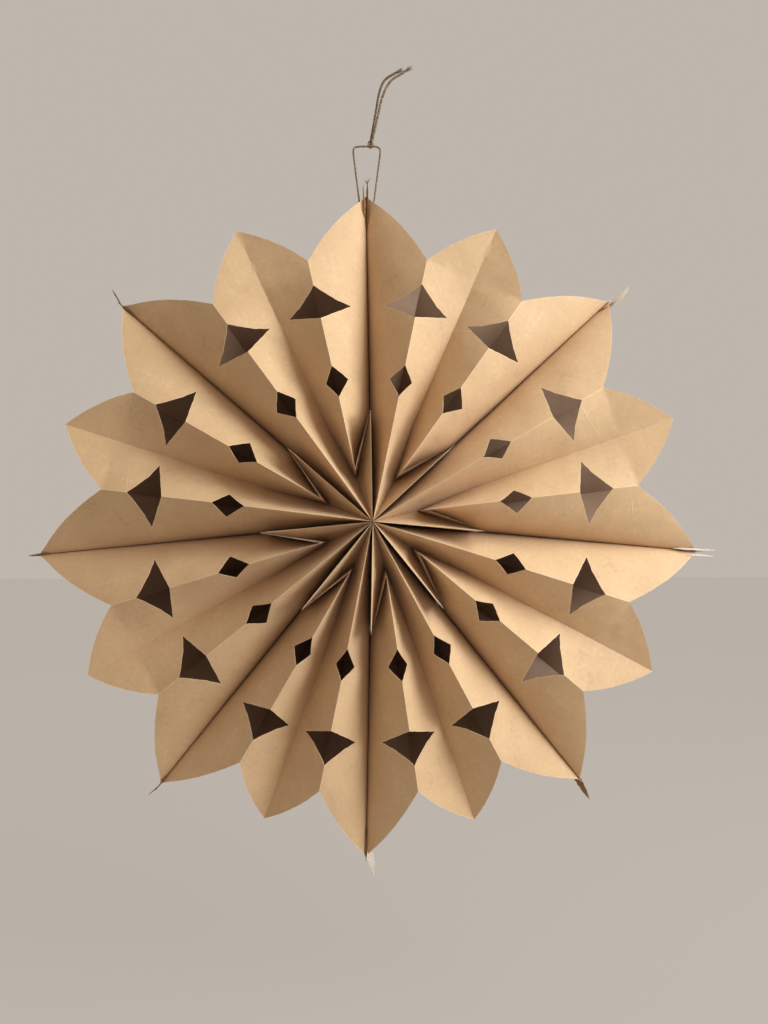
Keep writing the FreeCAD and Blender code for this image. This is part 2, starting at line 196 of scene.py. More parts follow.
class Field:
    """A number or vector running through a node tree, with ordinary operators."""

    def __init__(self, tree: bpy.types.NodeTree, socket: bpy.types.NodeSocket) -> None:
        """Wrap one output socket of a tree."""
        self.tree = tree
        self.socket = socket

    def math(self, operation: str, *others: "Field | float") -> "Field":
        """Apply a Math node to this field and others."""
        node = self.tree.nodes.new("ShaderNodeMath")
        node.operation = operation
        for target, value in zip(node.inputs, (self, *others)):
            fill(self.tree, target, value)
        return Field(self.tree, node.outputs[0])

    def vector(self, operation: str, other: "Field | Point") -> "Field":
        """Apply a Vector Math node to this field and another."""
        node = self.tree.nodes.new("ShaderNodeVectorMath")
        node.operation = operation
        fill(self.tree, node.inputs[0], self)
        fill(self.tree, node.inputs["Scale" if operation == "SCALE" else 1], other)
        return Field(self.tree, node.outputs["Vector"])

    def smooth(self, low: float, high: float) -> "Field":
        """Go smoothly from 0 to 1 as the field goes from low to high."""
        node = self.tree.nodes.new("ShaderNodeMapRange")
        node.interpolation_type = "SMOOTHSTEP"
        fill(self.tree, node.inputs["Value"], self)
        node.inputs["From Min"].default_value = low
        node.inputs["From Max"].default_value = high
        return Field(self.tree, node.outputs["Result"])

    def __add__(self, other: "Field | float") -> "Field":
        """Add."""
        return self.math("ADD", other)

    def __sub__(self, other: "Field | float") -> "Field":
        """Subtract."""
        return self.math("SUBTRACT", other)

    def __mul__(self, other: "Field | float") -> "Field":
        """Multiply."""
        return self.math("MULTIPLY", other)

    def __abs__(self) -> "Field":
        """Take the size without the sign."""
        return self.math("ABSOLUTE")

    def __pow__(self, other: float) -> "Field":
        """Raise to a power."""
        return self.math("POWER", other)


class Graph:
    """Helper that adds nodes to a shader or geometry tree and wires them."""

    def __init__(self, tree: bpy.types.NodeTree) -> None:
        """Keep the tree that is being built."""
        self.tree = tree

    def add(self, kind: str, inputs: dict | None = None, **settings: object) -> bpy.types.Node:
        """Add a node, set its properties and fill its inputs.

        Args:
            kind: The node's type.
            inputs: Values or fields by input name or number.
            settings: Properties of the node itself.

        Returns:
            The new node.
        """
        node = self.tree.nodes.new(kind)
        for name, value in settings.items():
            setattr(node, name, value)
        for name, value in (inputs or {}).items():
            fill(self.tree, node.inputs[name], value)
        return node

    def out(self, node: bpy.types.Node, name: str | int = 0) -> Field:
        """Take one output of a node as a field."""
        return Field(self.tree, node.outputs[name])

    def noise(self, place: Field, scale: float, detail: float = 2.0,
              roughness: float = 0.5) -> Field:
        """Sample a noise texture, 0 to 1, at a place."""
        node = self.add("ShaderNodeTexNoise",
                        {"Vector": place, "Scale": scale, "Detail": detail,
                         "Roughness": roughness})
        return self.out(node, 0)

    def mix(self, share: Field | float, first: object, second: object) -> Field:
        """Mix two colours by a share."""
        node = self.add("ShaderNodeMix", {0: share, 6: first, 7: second}, data_type="RGBA")
        return self.out(node, 2)


class Finish:
    """A material whose node tree is built from nothing."""

    def __init__(self, name: str) -> None:
        """Make the material with an empty tree."""
        self.material = bpy.data.materials.new(name)
        self.material.use_nodes = True
        self.material.node_tree.nodes.clear()
        self.graph = Graph(self.material.node_tree)

    def close(self, inputs: dict, height: Field, strength: float, distance: float
              ) -> bpy.types.Material:
        """Add bump, surface and output.

        Args:
            inputs: Inputs of the surface, other than its normal.
            height: What the bump follows.
            strength: Strength of the bump.
            distance: Its depth.

        Returns:
            The finished material.
        """
        bump = self.graph.add("ShaderNodeBump", {"Height": height, "Strength": strength,
                                                 "Distance": distance})
        surface = self.graph.add("ShaderNodeBsdfPrincipled",
                                 inputs | {"Normal": self.graph.out(bump)})
        self.graph.add("ShaderNodeOutputMaterial", {"Surface": surface.outputs[0]})
        return self.material


class GeometryTree:
    """A Geometry Nodes tree with named inputs that is applied to one object."""

    def __init__(self, name: str, sizes: dict[str, float]) -> None:
        """Make an empty tree with a geometry socket and one float input per size."""
        self.tree = bpy.data.node_groups.new(name, "GeometryNodeTree")
        face = self.tree.interface
        face.new_socket("Geometry", in_out="INPUT", socket_type="NodeSocketGeometry")
        face.new_socket("Geometry", in_out="OUTPUT", socket_type="NodeSocketGeometry")
        self.identifiers: dict[str, str] = {}
        for label, value in sizes.items():
            socket = face.new_socket(label, in_out="INPUT", socket_type="NodeSocketFloat")
            socket.default_value = value
            self.identifiers[label] = socket.identifier
        socket = face.new_socket("Material", in_out="INPUT",
                                 socket_type="NodeSocketMaterial")
        self.identifiers["Material"] = socket.identifier
        self.graph = Graph(self.tree)
        self.entry = self.tree.nodes.new("NodeGroupInput")

    def size(self, label: str) -> Field:
        """Read a named input inside the tree."""
        return Field(self.tree, self.entry.outputs[label])

    def finish(self, geometry: bpy.types.NodeSocket) -> None:
        """Close the tree with Realize Instances and Set Material."""
        real = self.graph.add("GeometryNodeRealizeInstances", {"Geometry": geometry})
        dressed = self.graph.add("GeometryNodeSetMaterial",
                                 {"Geometry": real.outputs["Geometry"],
                                  "Material": self.entry.outputs["Material"]})
        self.graph.add("NodeGroupOutput", {"Geometry": dressed.outputs["Geometry"]})

    def apply(self, source: bpy.types.Object, name: str, material: bpy.types.Material,
              **sizes: float) -> bpy.types.Object:
        """Run the tree on an object and keep the result as a plain mesh piece.

        Args:
            source: The object that carries the base mesh or curve; it is removed.
            name: The finished piece's name.
            material: What the piece is made of.
            sizes: Values for the tree's named inputs, with spaces as underscores.

        Returns:
            The finished piece, at the origin.
        """
        modifier = source.modifiers.new("build", "NODES")
        modifier.node_group = self.tree
        modifier[self.identifiers["Material"]] = material
        for label, value in sizes.items():
            modifier[self.identifiers[label.replace("_", " ")]] = value
        seen = bpy.context.evaluated_depsgraph_get()
        mesh = bpy.data.meshes.new_from_object(
            source.evaluated_get(seen), preserve_all_data_layers=True, depsgraph=seen)
        source.modifiers.remove(modifier)
        bpy.data.objects.remove(source)
        mesh.name = name
        piece = placed(name, mesh)
        if not mesh.materials:
            mesh.materials.append(material)
        return piece


# ------------------------------------------------------------------------ finishes


@dataclass(frozen=True)
class KraftPaper:
    """Brown kraft paper: fibres, clouds, folds paled by rubbing and by painted highlight, cut edges paled as a painted
    lit rim, a glue line darkened by glue stain and painted shade, and an inside darkened mostly with painted shade.
    """

    name: str = "kraft_paper"
    dark: Point = (0.47, 0.29, 0.150, 1.0)
    body: Point = (0.60, 0.39, 0.215, 1.0)
    light: Point = (0.73, 0.50, 0.290, 1.0)
    worn_and_lit: Point = (0.84, 0.63, 0.40, 1.0)
    soaked_and_shaded: Point = (0.46, 0.20, 0.090, 1.0)
    unglazed_and_shaded: Point = (0.25, 0.147, 0.094, 1.0)
    glue_line: float = 0.212
    roughness: float = 0.62
    ridge_lines: tuple[float, ...] = (0.065, 0.147)
    fold_wear_and_highlight: float = 0.00055
    creases: tuple[tuple[float, float], ...] = ((1.42, 0.088), (1.78, 0.136), (0.62, 0.150))
    crease_width: float = 0.0010
    crease_scatter: float = 0.045
    crease_shift: float = 3.7
    cloud_scale: float = 34.0
    mottle_scale: float = 260.0
    speck_scale: float = 2300.0
    fibre_stretch: Point = (2600.0, 700.0, 1.0)
    streak_stretch: Point = (520.0, 14.0, 1.0)

    def build(self) -> bpy.types.Material:
        """Make the material's node tree.

        Returns:
            The material, whose pattern follows the flat sheet's own map.
        """
        finish = Finish(self.name)
        graph = finish.graph
        flat = graph.out(graph.add("ShaderNodeUVMap", uv_map="flat"))
        split = graph.add("ShaderNodeSeparateXYZ", {0: flat})
        across = abs(graph.out(split, "X"))
        cloud = graph.noise(flat, self.cloud_scale, 3.0, 0.6)
        fibre = graph.noise(flat.vector("MULTIPLY", self.fibre_stretch), 1.0, 4.0, 0.7)
        streak = graph.noise(flat.vector("MULTIPLY", self.streak_stretch), 1.0, 2.0, 0.5)
        speck = graph.noise(flat, self.speck_scale, 1.0, 0.4)
        mottle = graph.noise(flat, self.mottle_scale, 3.0, 0.65)
        tone = cloud * 0.52 + mottle * 0.46 + fibre * 0.36 + streak * 0.10 - 0.22
        colour = graph.mix(tone.smooth(0.2, 0.5), self.dark, self.body)
        colour = graph.mix(tone.smooth(0.5, 0.8), colour, self.light)
        colour = graph.mix(speck.smooth(0.72, 0.8) * 0.35, colour, self.dark)
        # Fold lines paled in colour: partly rubbed paper, partly a painted highlight where the rounded fold catches
        # the light.
        wear_and_highlight = self.joined([abs(across - line).smooth(self.fold_wear_and_highlight, 0.0)
                            for line in self.ridge_lines])
        # Cut edges paled in colour as a painted highlight on the lit paper edge.
        cut = graph.out(graph.add("ShaderNodeAttribute", attribute_name="cut_edge"), "Fac")
        wear_and_highlight = wear_and_highlight.math("MAXIMUM", cut ** 7.0) * (fibre * 0.6 + 0.4)
        crease = self.handling(graph, graph.out(split, "X"), graph.out(split, "Y"))
        crease = crease * cloud.smooth(0.42, 0.62)
        wear_and_highlight = wear_and_highlight.math("MAXIMUM", crease * 0.16)
        inside = graph.out(graph.add("ShaderNodeAttribute", attribute_name="inside"), "Fac")
        # Inside darkened in colour: a little for the duller uncoated side, mostly painted shade inside the bag.
        colour = graph.mix(inside * 0.92, colour, self.unglazed_and_shaded)
        # Glue line darkened in colour: partly glue-stained paper, partly painted shade of the narrow seam valley.
        glued = (across.math("MINIMUM", abs(across - self.glue_line))).smooth(0.0080, 0.0050)
        colour = graph.mix(glued * (cloud * 0.6 + 0.5), colour, self.soaked_and_shaded)
        wear_and_highlight = wear_and_highlight * (inside * -0.85 + 1.0)
        # Mix in the paler colour: rubbed folds and handling creases, with painted highlight on folds and cut edges,
        # none on the inside.
        colour = graph.mix(wear_and_highlight, colour, self.worn_and_lit)
        height = fibre * 0.5 + streak * 0.35 + mottle * 0.6 + cloud * 1.6 + crease * 0.7
        return finish.close({"Base Color": colour, "Roughness": self.roughness,
                             "Specular IOR Level": 0.28, "Sheen Weight": 0.08},
                            height, strength=0.35, distance=0.0004)

    @staticmethod
    def joined(lines: Sequence[Field]) -> Field:
        """Take the strongest of several fields at each place."""
        strongest = lines[0]
        for line in lines[1:]:
            strongest = strongest.math("MAXIMUM", line)
        return strongest

    def handling(self, graph: Graph, across: Field, along: Field) -> Field:
        """Draw a few straight handling creases, at other places on each bag.

        Args:
            graph: Tree of the material.
            across: Flat sheet's place across its run.
            along: Flat sheet's place along its run.

        Returns:
            One along the creases, nought elsewhere.
        """
        chance = graph.out(graph.add("ShaderNodeAttribute", attribute_name="chance"), "Fac")
        lines: list[Field] = []
        for number, (turn, reach) in enumerate(self.creases, 1):
            shift = (chance * (self.crease_shift * number)).math("FRACT") * self.crease_scatter
            gap = abs(across * math.cos(turn) + along * math.sin(turn) - shift - reach)
            lines.append(gap.smooth(self.crease_width, 0.0))
        return self.joined(lines)


@dataclass(frozen=True)
class JuteTwine:
    """Reddish brown jute, streaky along its fibres."""

    name: str = "jute_twine"
    dark: Point = (0.080, 0.050, 0.030, 1.0)
    light: Point = (0.36, 0.25, 0.155, 1.0)

    def build(self) -> bpy.types.Material:
        """Make the material's node tree."""
        finish = Finish(self.name)
        graph = finish.graph
        place = graph.out(graph.add("ShaderNodeTexCoord"), "Object")
        blotch = graph.noise(place, 420.0, 3.0, 0.7)
        hair = graph.noise(place.vector("MULTIPLY", (3400.0, 3400.0, 900.0)), 1.0, 2.0, 0.6)
        tone = blotch * 0.6 + hair * 0.4
        colour = graph.mix(tone.smooth(0.3, 0.7), self.dark, self.light)
        return finish.close({"Base Color": colour, "Roughness": 0.86,
                             "Specular IOR Level": 0.2, "Sheen Weight": 0.2},
                            hair, strength=0.6, distance=0.0002)


# -------------------------------------------------------------------------- paper


@dataclass(frozen=True)
class CutPattern:
    """Edges of the flat bag: folds of the block bottom, cut-outs and the mouth."""

    half_width: float = 0.065
    gusset: float = 0.041
    flap: float = 0.082
    length: float = 0.270
    diamond_inner: float = 0.095
    diamond_outer: float = 0.1195
    diamond_tip: float = 0.110
    diamond_reach: float = 0.0152
    back_diamond_outer: float = 0.1115
    back_diamond_tip: float = 0.103
    kite_inner: float = 0.1585
    kite_outer: float = 0.1865
    kite_tip: float = 0.1705
    kite_reach: float = 0.031
    kite_waist: float = 0.0026
    back_kite_outer: float = 0.1830
    notch: float = 0.2075
    back_notch: float = 0.217
    gusset_tip: float = 0.251
    face_bulge: float = 0.005
    gusset_bulge: float = 0.0024
    scissor_jitter: float = 0.0004

    def wobble(self, side: float, which: float) -> float:
        """Small unsteadiness of the scissors along a cut, none where a cut closes."""
        return self.scissor_jitter * (
            noise.noise(Vector((side * 260, which, 3.1)))
            + 0.5 * noise.noise(Vector((side * 900, which, 7.7))))

    def edge(self, side: float, on_fold: float, at_tip: float, reach: float,
             bulge: float = 0.0) -> float:
        """Run of one edge of a cut, level beyond the tip of the cut."""
        share = min(side / reach, 1.0)
        run = on_fold + (at_tip - on_fold) * share + 4 * bulge * share * (1 - share)
        return run + self.wobble(side, on_fold * 100) * min(1.0, 6 * (1 - share))

    def diamond(self, on_fold: float, at_tip: float) -> Edge:
        """Edge of a diamond, led on from its tip to the level of the front diamond's."""
        def edge(side: float) -> float:
            """Run of the edge at a distance from the side fold."""
            past = (side - self.diamond_reach) / (self.kite_reach - self.diamond_reach)
            return (self.edge(side, on_fold, at_tip, self.diamond_reach)
                    + (self.diamond_tip - at_tip) * min(max(past, 0.0), 1.0))
        return edge

    def kite_near(self, side: float) -> float:
        """Edge of the kite nearer the hub."""
        return self.edge(side, self.kite_inner, self.kite_tip, self.kite_reach)

    def kite_far(self, on_fold: float) -> Edge:
        """Edge of a kite farther from the hub, bent inward a little."""
        return lambda side: self.edge(side, on_fold, self.kite_tip, self.kite_reach,
                                      -self.kite_waist)

    def rim(self, notch: float, tip: float, reach: float, bulge: float) -> Edge:
        """Edge of the mouth from its notch on the fold to its tip."""
        def edge(side: float) -> float:
            """Run of the edge at a distance from the side fold."""
            share = side / reach
            run = notch + (tip - notch) * share + 4 * bulge * share * (1 - share)
            return run + self.wobble(side, 50.0) * min(1.0, 8 * share)
        return edge

    def face_rim(self, notch: float) -> Edge:
        """Edge of the mouth on a wide face."""
        return self.rim(notch, self.length, self.half_width, self.face_bulge)

    def gusset_rim(self, notch: float) -> Edge:
        """Edge of the mouth on a side gusset."""
        return self.rim(notch, self.gusset_tip, self.gusset, self.gusset_bulge)

    def outer_rows(self, half: int, rim: Edge) -> list[tuple[Edge, bool]]:
        """Guide rows beyond the bottom flap; True marks one with a cut-out before it."""
        tip, outer, kite = (
            (self.diamond_tip, self.diamond_outer, self.kite_outer) if half > 0
            else (self.back_diamond_tip, self.back_diamond_outer, self.back_kite_outer))
        return [(self.diamond(self.diamond_inner, tip), False),
                (self.diamond(outer, tip), True),
                (self.kite_near, False), (self.kite_far(kite), True), (rim, False)]


@dataclass(frozen=True)
class Opening:
    """How the opened star holds each bag: layers, glue, ridges and bows."""

    thickness: float = 0.0002
    gap: float = 0.0002
    glue: float = 0.005
    release: float = 0.008
    ridge_drop: float = 0.024
    bow_depth: float = 0.034
    bow_drop: float = 0.013
    spring: float = 0.004
    valley_setback: float = 0.0065
    gusset_spread: float = 0.975
    widest_fan: float = 48.0


class OpenedBag:
    """Where each place of one flat bag lies once it is fanned open."""

    def __init__(self, pattern: CutPattern, held: Opening, fan: float) -> None:
        """Work out the angles that a bag of this fan, in degrees, needs."""
        self.pattern = pattern
        self.held = held
        self.fan = math.radians(fan)
        self.start = held.thickness / 2
        self.layer = held.thickness + held.gap
        self.hub = self.start / math.tan(self.fan / 2)
        radius = self.plan_radius(pattern.notch)
        opening = math.asin(held.gusset_spread * pattern.gusset / radius)
        self.opening = opening * fan / held.widest_fan
        self.lean = self.fan / 2 - self.opening
        self.gusset_height = math.sqrt(
            pattern.gusset ** 2 - (radius * math.sin(self.opening)) ** 2)

    def plan_radius(self, run: float) -> float:
        """Distance from the hub in the star's plane of a place on a ridge."""
        slope = self.held.ridge_drop / self.pattern.notch ** 2
        return run - 2 / 3 * slope ** 2 * run ** 3

    def ridge_depth(self, run: float) -> float:
        """Distance of a ridge in front of the middle plane."""
        return self.pattern.half_width - self.held.ridge_drop * (
            run / self.pattern.notch) ** 2

    def crease_depth(self, run: float) -> float:
        """Distance of the gusset's crease in front of the middle plane."""
        at_hub = self.pattern.half_width - self.pattern.gusset
        at_notch = self.ridge_depth(self.pattern.notch) - self.gusset_height
        return at_hub + (at_notch - at_hub) * (run / self.pattern.notch) ** 2

    def place(self, near: bool, forward: float, across: float, depth: float) -> Vector:
        """Point of the bag's frame, measured from its first or its second seam."""
        forward = max(forward, self.hub)
        if near:
            return Vector((forward, -depth, across))
        cosine, sine = math.cos(self.fan), math.sin(self.fan)
        return Vector((forward * cosine + across * sine, -depth,
                       forward * sine - across * cosine))

    def ridge(self, near: bool, run: float) -> tuple[float, float, float]:
        """Forward, across and depth of a place on the side fold."""
        radius = self.plan_radius(run)
        across = self.start + radius * math.sin(self.lean)
        if near:
            across += self.held.spring * (1 - run / self.pattern.notch)
        return radius * math.cos(self.lean), across, self.ridge_depth(run)

    def seam_offset(self, near: bool, run: float) -> float:
        """Height of a face over the seam's plane along the glued centre line."""
        if not near:
            return self.start
        on_flap = 1 - (run - self.pattern.flap) / self.held.release
        return self.start + 2 * self.layer * min(max(on_flap, 0.0), 1.0)

    def flap_fold(self, side: float) -> Vector:
        """Place on the straight fold where the raised flap turns into the first face."""
        run = self.pattern.gusset
        forward, across, depth = self.ridge(True, run)
        rise = across - self.start - self.layer
        centre = self.pattern.flap - math.sqrt((self.pattern.flap - run) ** 2 - rise ** 2)
        share = side / self.pattern.half_width
        return self.place(True, forward + (centre - forward) * share, across,
                          depth * (1 - share))

    def past_fold(self, run: float) -> float:
        """How far a run has come from the flap's fold to the end of the flap, 0 to 1."""
        share = (run - self.pattern.gusset) / (self.pattern.flap - self.pattern.gusset)
        return min(max(share, 0.0), 1.0)

    def face(self, near: bool, run: float, side: float) -> Vector:
        """Place on a wide face: flat on the glue, then bowed out to the ridge."""
        held = self.held
        if near and run < self.pattern.flap:
            return self.flap_fold(side).lerp(self.face(True, self.pattern.flap, side),
                                             self.past_fold(run))
        offset = self.seam_offset(near, run)
        centre = self.pattern.half_width - side
        if centre <= held.glue:
            return self.place(near, run, offset, centre)
        bow = held.bow_depth - held.bow_drop * (run / self.pattern.notch) ** 2
        ends = ((run, offset, held.glue), (run, offset, bow), self.ridge(near, run))
        stretch = math.sqrt(math.dist(ends[1], ends[2]) / math.dist(ends[0], ends[1]))
        share = (centre - held.glue) / (self.pattern.half_width - held.glue)
        turn = stretch * share / (1 + (stretch - 1) * share)
        weights = ((1 - turn) ** 2, 2 * turn * (1 - turn), turn ** 2)
        spot = [sum(w * end[axis] for w, end in zip(weights, ends)) for axis in range(3)]
        return self.place(near, *spot)

    def crease(self, run: float) -> Vector:
        """Place on the gusset's inner crease."""
        radius, half = self.plan_radius(run), self.fan / 2
        return Vector((radius * math.cos(half), -self.crease_depth(run),
                       radius * math.sin(half)))

    def valley(self) -> Vector:
        """Inner end of the gusset's crease, where it goes round the flap's fold."""
        fold = self.flap_fold(self.pattern.gusset)
        return Vector((fold.x - self.held.valley_setback,
                       -self.crease_depth(self.pattern.gusset), fold.z - self.layer))

    def gusset(self, near: bool, run: float, side: float, notch: float) -> Vector:
        """Place on one half of a side gusset, straight from the ridge to the crease."""
        pattern = self.pattern
        forward, across, depth = self.ridge(near, run)
        if run > notch:
            depth = self.crease_depth(run) + self.ridge_depth(notch) - self.crease_depth(notch)
        fold = self.place(near, forward, across, depth)
        if near and run < pattern.flap:
            fold = self.face(True, run, 0.0)
        if run > pattern.gusset:
            crease = self.crease(max(run, pattern.flap))
            crease = self.valley().lerp(crease, self.past_fold(run))
            return fold + (crease - fold) * (side / pattern.gusset)
        if run <= 0:
            return fold
        corner = self.place(False, *self.ridge(False, 0.0))
        diagonal = corner + (self.valley() - corner) * (run / pattern.gusset)
        return fold + (diagonal - fold) * min(side / run, 1.0)


@dataclass
class SheetMesh:
    """Corners and quads of the bent sheet, each corner once, with its flat map."""

    points: list[Vector] = field(default_factory=list)
    faces: list[tuple[int, ...]] = field(default_factory=list)
    flats: list[tuple[tuple[float, float], ...]] = field(default_factory=list)
    relief: dict[int, float] = field(default_factory=dict)
    index: dict[tuple[int, int, int], int] = field(default_factory=dict)

    GRID: ClassVar[float] = 1e7

    def corner(self, point: Vector) -> int:
        """Number of the corner at a point, a new one where there is none."""
        key = tuple(round(value * self.GRID) for value in point)
        if key not in self.index:
            self.index[key] = len(self.points)
            self.points.append(point.copy())
        return self.index[key]

    def add(self, places: Sequence[tuple[Vector, tuple[float, float]]], outward: bool,
            relief: float = 0.0, halves: Sequence[int] = (1, -1)) -> None:
        """Add one face on the front half, its mirror image on the back half, or both.

        Args:
            places: Corners as (point, flat place), in order.
            outward: Whether that order already faces out of the bag.
            relief: How freely the paper may undulate there, 0 to 1.
            halves: 1 for the front half, -1 for the back half.
        """
        for mirror in halves:
            corners: list[int] = []
            flats: list[tuple[float, float]] = []
            for point, flat in places:
                number = self.corner(Vector((point.x, point.y * mirror, point.z)))
                if number in corners:
                    continue
                corners.append(number)
                flats.append((flat[0] * mirror, flat[1]))
                self.relief[number] = min(self.relief.get(number, 1.0), relief)
            if len(corners) < 3:
                continue
            if outward == (mirror < 0):
                corners.reverse()
                flats.reverse()
            self.faces.append(tuple(corners))
            self.flats.append(tuple(flats))


class Bag:
    """One lunch bag of the star: cut flat, fanned open and dressed as paper."""

    STEP: float = 0.0030
    NEAR_FOLD_STEP: float = 0.0019
    BANDS: int = 10
    FLAP_MARGIN: float = 0.012
    FLAP_EASE: float = 0.03
    GLUE_MARGIN: float = 0.008
    GLUE_EASE: float = 0.02

    def __init__(self, number: int, seam: float, fan: float, pattern: CutPattern,
                 held: Opening) -> None:
        """Keep the bag's place in the star.

        Args:
            number: 1 to 8, anticlockwise from the top seam.
            seam: Angle of its first seam, in degrees.
            fan: Angle that it fills, in degrees.
            pattern: What was cut from the stack of bags.
            held: How the star holds it.
        """
        self.number = number
        self.seam = math.radians(seam)
        self.pattern = pattern
        self.opened = OpenedBag(pattern, held, fan)
        self.sheet = SheetMesh()

    @staticmethod
    def spaced(stops: Sequence[float], steps: Sequence[float]) -> list[float]:
        """Divide each stretch between stops into equal steps of at most the given size."""
        out = [stops[0]]
        for low, high, step in zip(stops, stops[1:], steps):
            count = max(1, math.ceil((high - low) / step))
            out += [low + (high - low) * k / count for k in range(1, count + 1)]
        return out

    def counts(self, guides: Sequence[tuple[Edge, bool]], sides: Sequence[float]
               ) -> list[int]:
        """How many rows to lay from each guide row to the next."""
        levels = [[edge(side) for side in sides] for edge, _ in guides]
        return [max(1, math.ceil(max(b - a for a, b in zip(low, high)) / self.STEP))
                for low, high in zip(levels, levels[1:])]

    @staticmethod
    def rows(guides: Sequence[tuple[Edge, bool]], sides: Sequence[float],
             counts: Sequence[int]) -> list[tuple[list[float], bool]]:
        """Runs of every row between the guide rows, at each side distance."""
        out: list[tuple[list[float], bool]] = []
        for (edge, cut_before), count in zip(guides, (1, *counts)):
            runs = [edge(side) for side in sides]
            if out and not cut_before:
                below = out[-1][0]
                for k in range(1, count):
                    out.append(([a + (b - a) * k / count for a, b in zip(below, runs)],
                                False))
            out.append((runs, cut_before))
        return out

    def panel(self, place: Callable[[float, float], Vector], glued: bool,
              sides: Sequence[float], guides: Sequence[tuple[Edge, bool]],
              counts: Sequence[int], fold_at: float, flat_step: float, outward: bool,
              half: int) -> None:
        """Add one panel, row by row, leaving out what the scissors took.

        Args:
            place: Carries (run, side) to its place on the opened bag.
            glued: Whether the panel's centre line is glued to the next bag.
            sides: Distances from the side fold.
            guides: Guide rows from the hub outward.
            counts: Rows between them, the same on both sides of the side fold.
            fold_at: Where the side fold lies on the flat map.
            flat_step: Direction of the panel on the flat map, 1 or -1.
            outward: Whether the rows' order faces out of the bag.
            half: 1 for the front half of the star, -1 for the back half.
        """
        clear = self.pattern.flap + self.FLAP_MARGIN
        below: list[tuple[Vector, tuple[float, float]]] = []
        for runs, cut_before in self.rows(guides, sides, counts):
            row = [(place(run, side), (fold_at + flat_step * side, run))
                   for run, side in zip(runs, sides)]
            if below and not cut_before:
                for left in range(len(row) - 1):
                    run = row[left][1][1]
                    free = min(max((run - clear) / self.FLAP_EASE, 0.0), 1.0)
                    if glued:
                        centre = self.pattern.half_width - sides[left] - self.GLUE_MARGIN
                        free *= min(max(centre / self.GLUE_EASE, 0.0), 1.0)
                    self.sheet.add((below[left], below[left + 1], row[left + 1], row[left]),
                                   outward, free, (half,))
            below = row

    def fold(self) -> None:
        """Lay out bottom, faces and gussets of the sheet."""
        pattern, opened = self.pattern, self.opened
        half, gusset, flap = pattern.half_width, pattern.gusset, pattern.flap
        glue = opened.held.glue
        face_sides = self.spaced(
            (0.0, pattern.diamond_reach, pattern.kite_reach, half - glue, half),
            (self.NEAR_FOLD_STEP, self.NEAR_FOLD_STEP, self.STEP, self.STEP))
        gusset_sides = self.spaced(
            (0.0, pattern.diamond_reach, pattern.kite_reach, gusset),
            (self.NEAR_FOLD_STEP, self.NEAR_FOLD_STEP, self.STEP))

        def level(run: float) -> Edge:
            """Guide row at one run, right across the panel."""
            return lambda side: run

        on_flap = [(level(gusset), False), (level(flap), False),
                   (level(flap + opened.held.release), False)]
        for near in (True, False):
            fold_at = half + 2 * gusset if near else half
            for star_half, notch in ((1, pattern.notch), (-1, pattern.back_notch)):
                inner = [] if near else [(level(0.0), False)]
                guides = inner + on_flap + pattern.outer_rows(star_half, pattern.face_rim(notch))
                counts = self.counts(guides, face_sides)
                self.panel(lambda run, side: opened.face(near, run, side), True, face_sides,
                           guides, counts, fold_at, 1.0 if near else -1.0, near, star_half)
                inner = [] if near else [(lambda side: side, False)]
                guides = inner + on_flap + pattern.outer_rows(star_half, pattern.gusset_rim(notch))
                self.panel(lambda run, side: opened.gusset(near, run, side, notch), False,
                           gusset_sides, guides, counts, fold_at, -1.0 if near else 1.0,
                           not near, star_half)
        self.fold_bottom(face_sides, gusset_sides)

    def fold_bottom(self, face_sides: Sequence[float], gusset_sides: Sequence[float]) -> None:
        """Lay out the block bottom: flat panel, raised flap and tucked corners."""
        pattern, opened = self.pattern, self.opened
        half, gusset, flap = pattern.half_width, pattern.gusset, pattern.flap
        lift = Vector((0, 0, opened.layer))
        near_fold = half + 2 * gusset

        def mapped(points: Iterable[Vector], run: float, near: bool
                   ) -> list[tuple[Vector, tuple[float, float]]]:
            """Give a row of points its places on the flat map."""
            step = 1.0 if near else -1.0
            base = near_fold if near else half
            return [(point, (base + step * side, run))
                    for point, side in zip(points, face_sides)]

        hub = [opened.face(False, 0.0, side) for side in face_sides]
        end = [opened.place(True, flap, opened.start, half - side) for side in face_sides]
        turned = [point + lift for point in end]
        fold = [opened.face(True, gusset, side) for side in face_sides]
        under = [point - lift for point in fold]
        bands = ((hub, 0.0, end, -flap, False, self.BANDS),
                 (end, -flap, turned, -flap, False, 1),
                 (turned, 0.0, under, gusset, True, self.BANDS),
                 (under, gusset, fold, gusset, True, 1))
        for lower, low_run, upper, high_run, near, count in bands:
            below = mapped(lower, low_run, near)
            for k in range(1, count + 1):
                share = k / count
                row = mapped([a.lerp(b, share) for a, b in zip(lower, upper)],
                             low_run + (high_run - low_run) * share, near)
                for left in range(len(row) - 1):
                    self.sheet.add((below[left], below[left + 1], row[left + 1], row[left]),
                                   True)
                below = row
        self.tuck_corners(hub[0], end[0], turned[0], under[0], gusset_sides)

    def tuck_corners(self, hub: Vector, end: Vector, turned: Vector, under: Vector,
                     gusset_sides: Sequence[float]) -> None:
        """Close the two triangles of the gusset that the block bottom tucks in.

        Args:
            hub: Corner of the bag at the hub.
            end: Corner where the flat bottom ends.
            turned: The same corner once the flap has turned back over it.
            under: Corner where the flap meets the raised fold.
            gusset_sides: Distances from the side fold across the gusset.
        """
        pattern, opened = self.pattern, self.opened
        half, gusset, flap = pattern.half_width, pattern.gusset, pattern.flap
        far_fold, near_fold = half, half + 2 * gusset

        def side_of(start: Vector, stop: Vector, fold_at: float, run: float
                    ) -> list[tuple[Vector, tuple[float, float]]]:
            """Divide one side of the block bottom as its bands do."""
            return [(start.lerp(stop, k / self.BANDS), (fold_at, run * k / self.BANDS))
                    for k in range(self.BANDS + 1)]

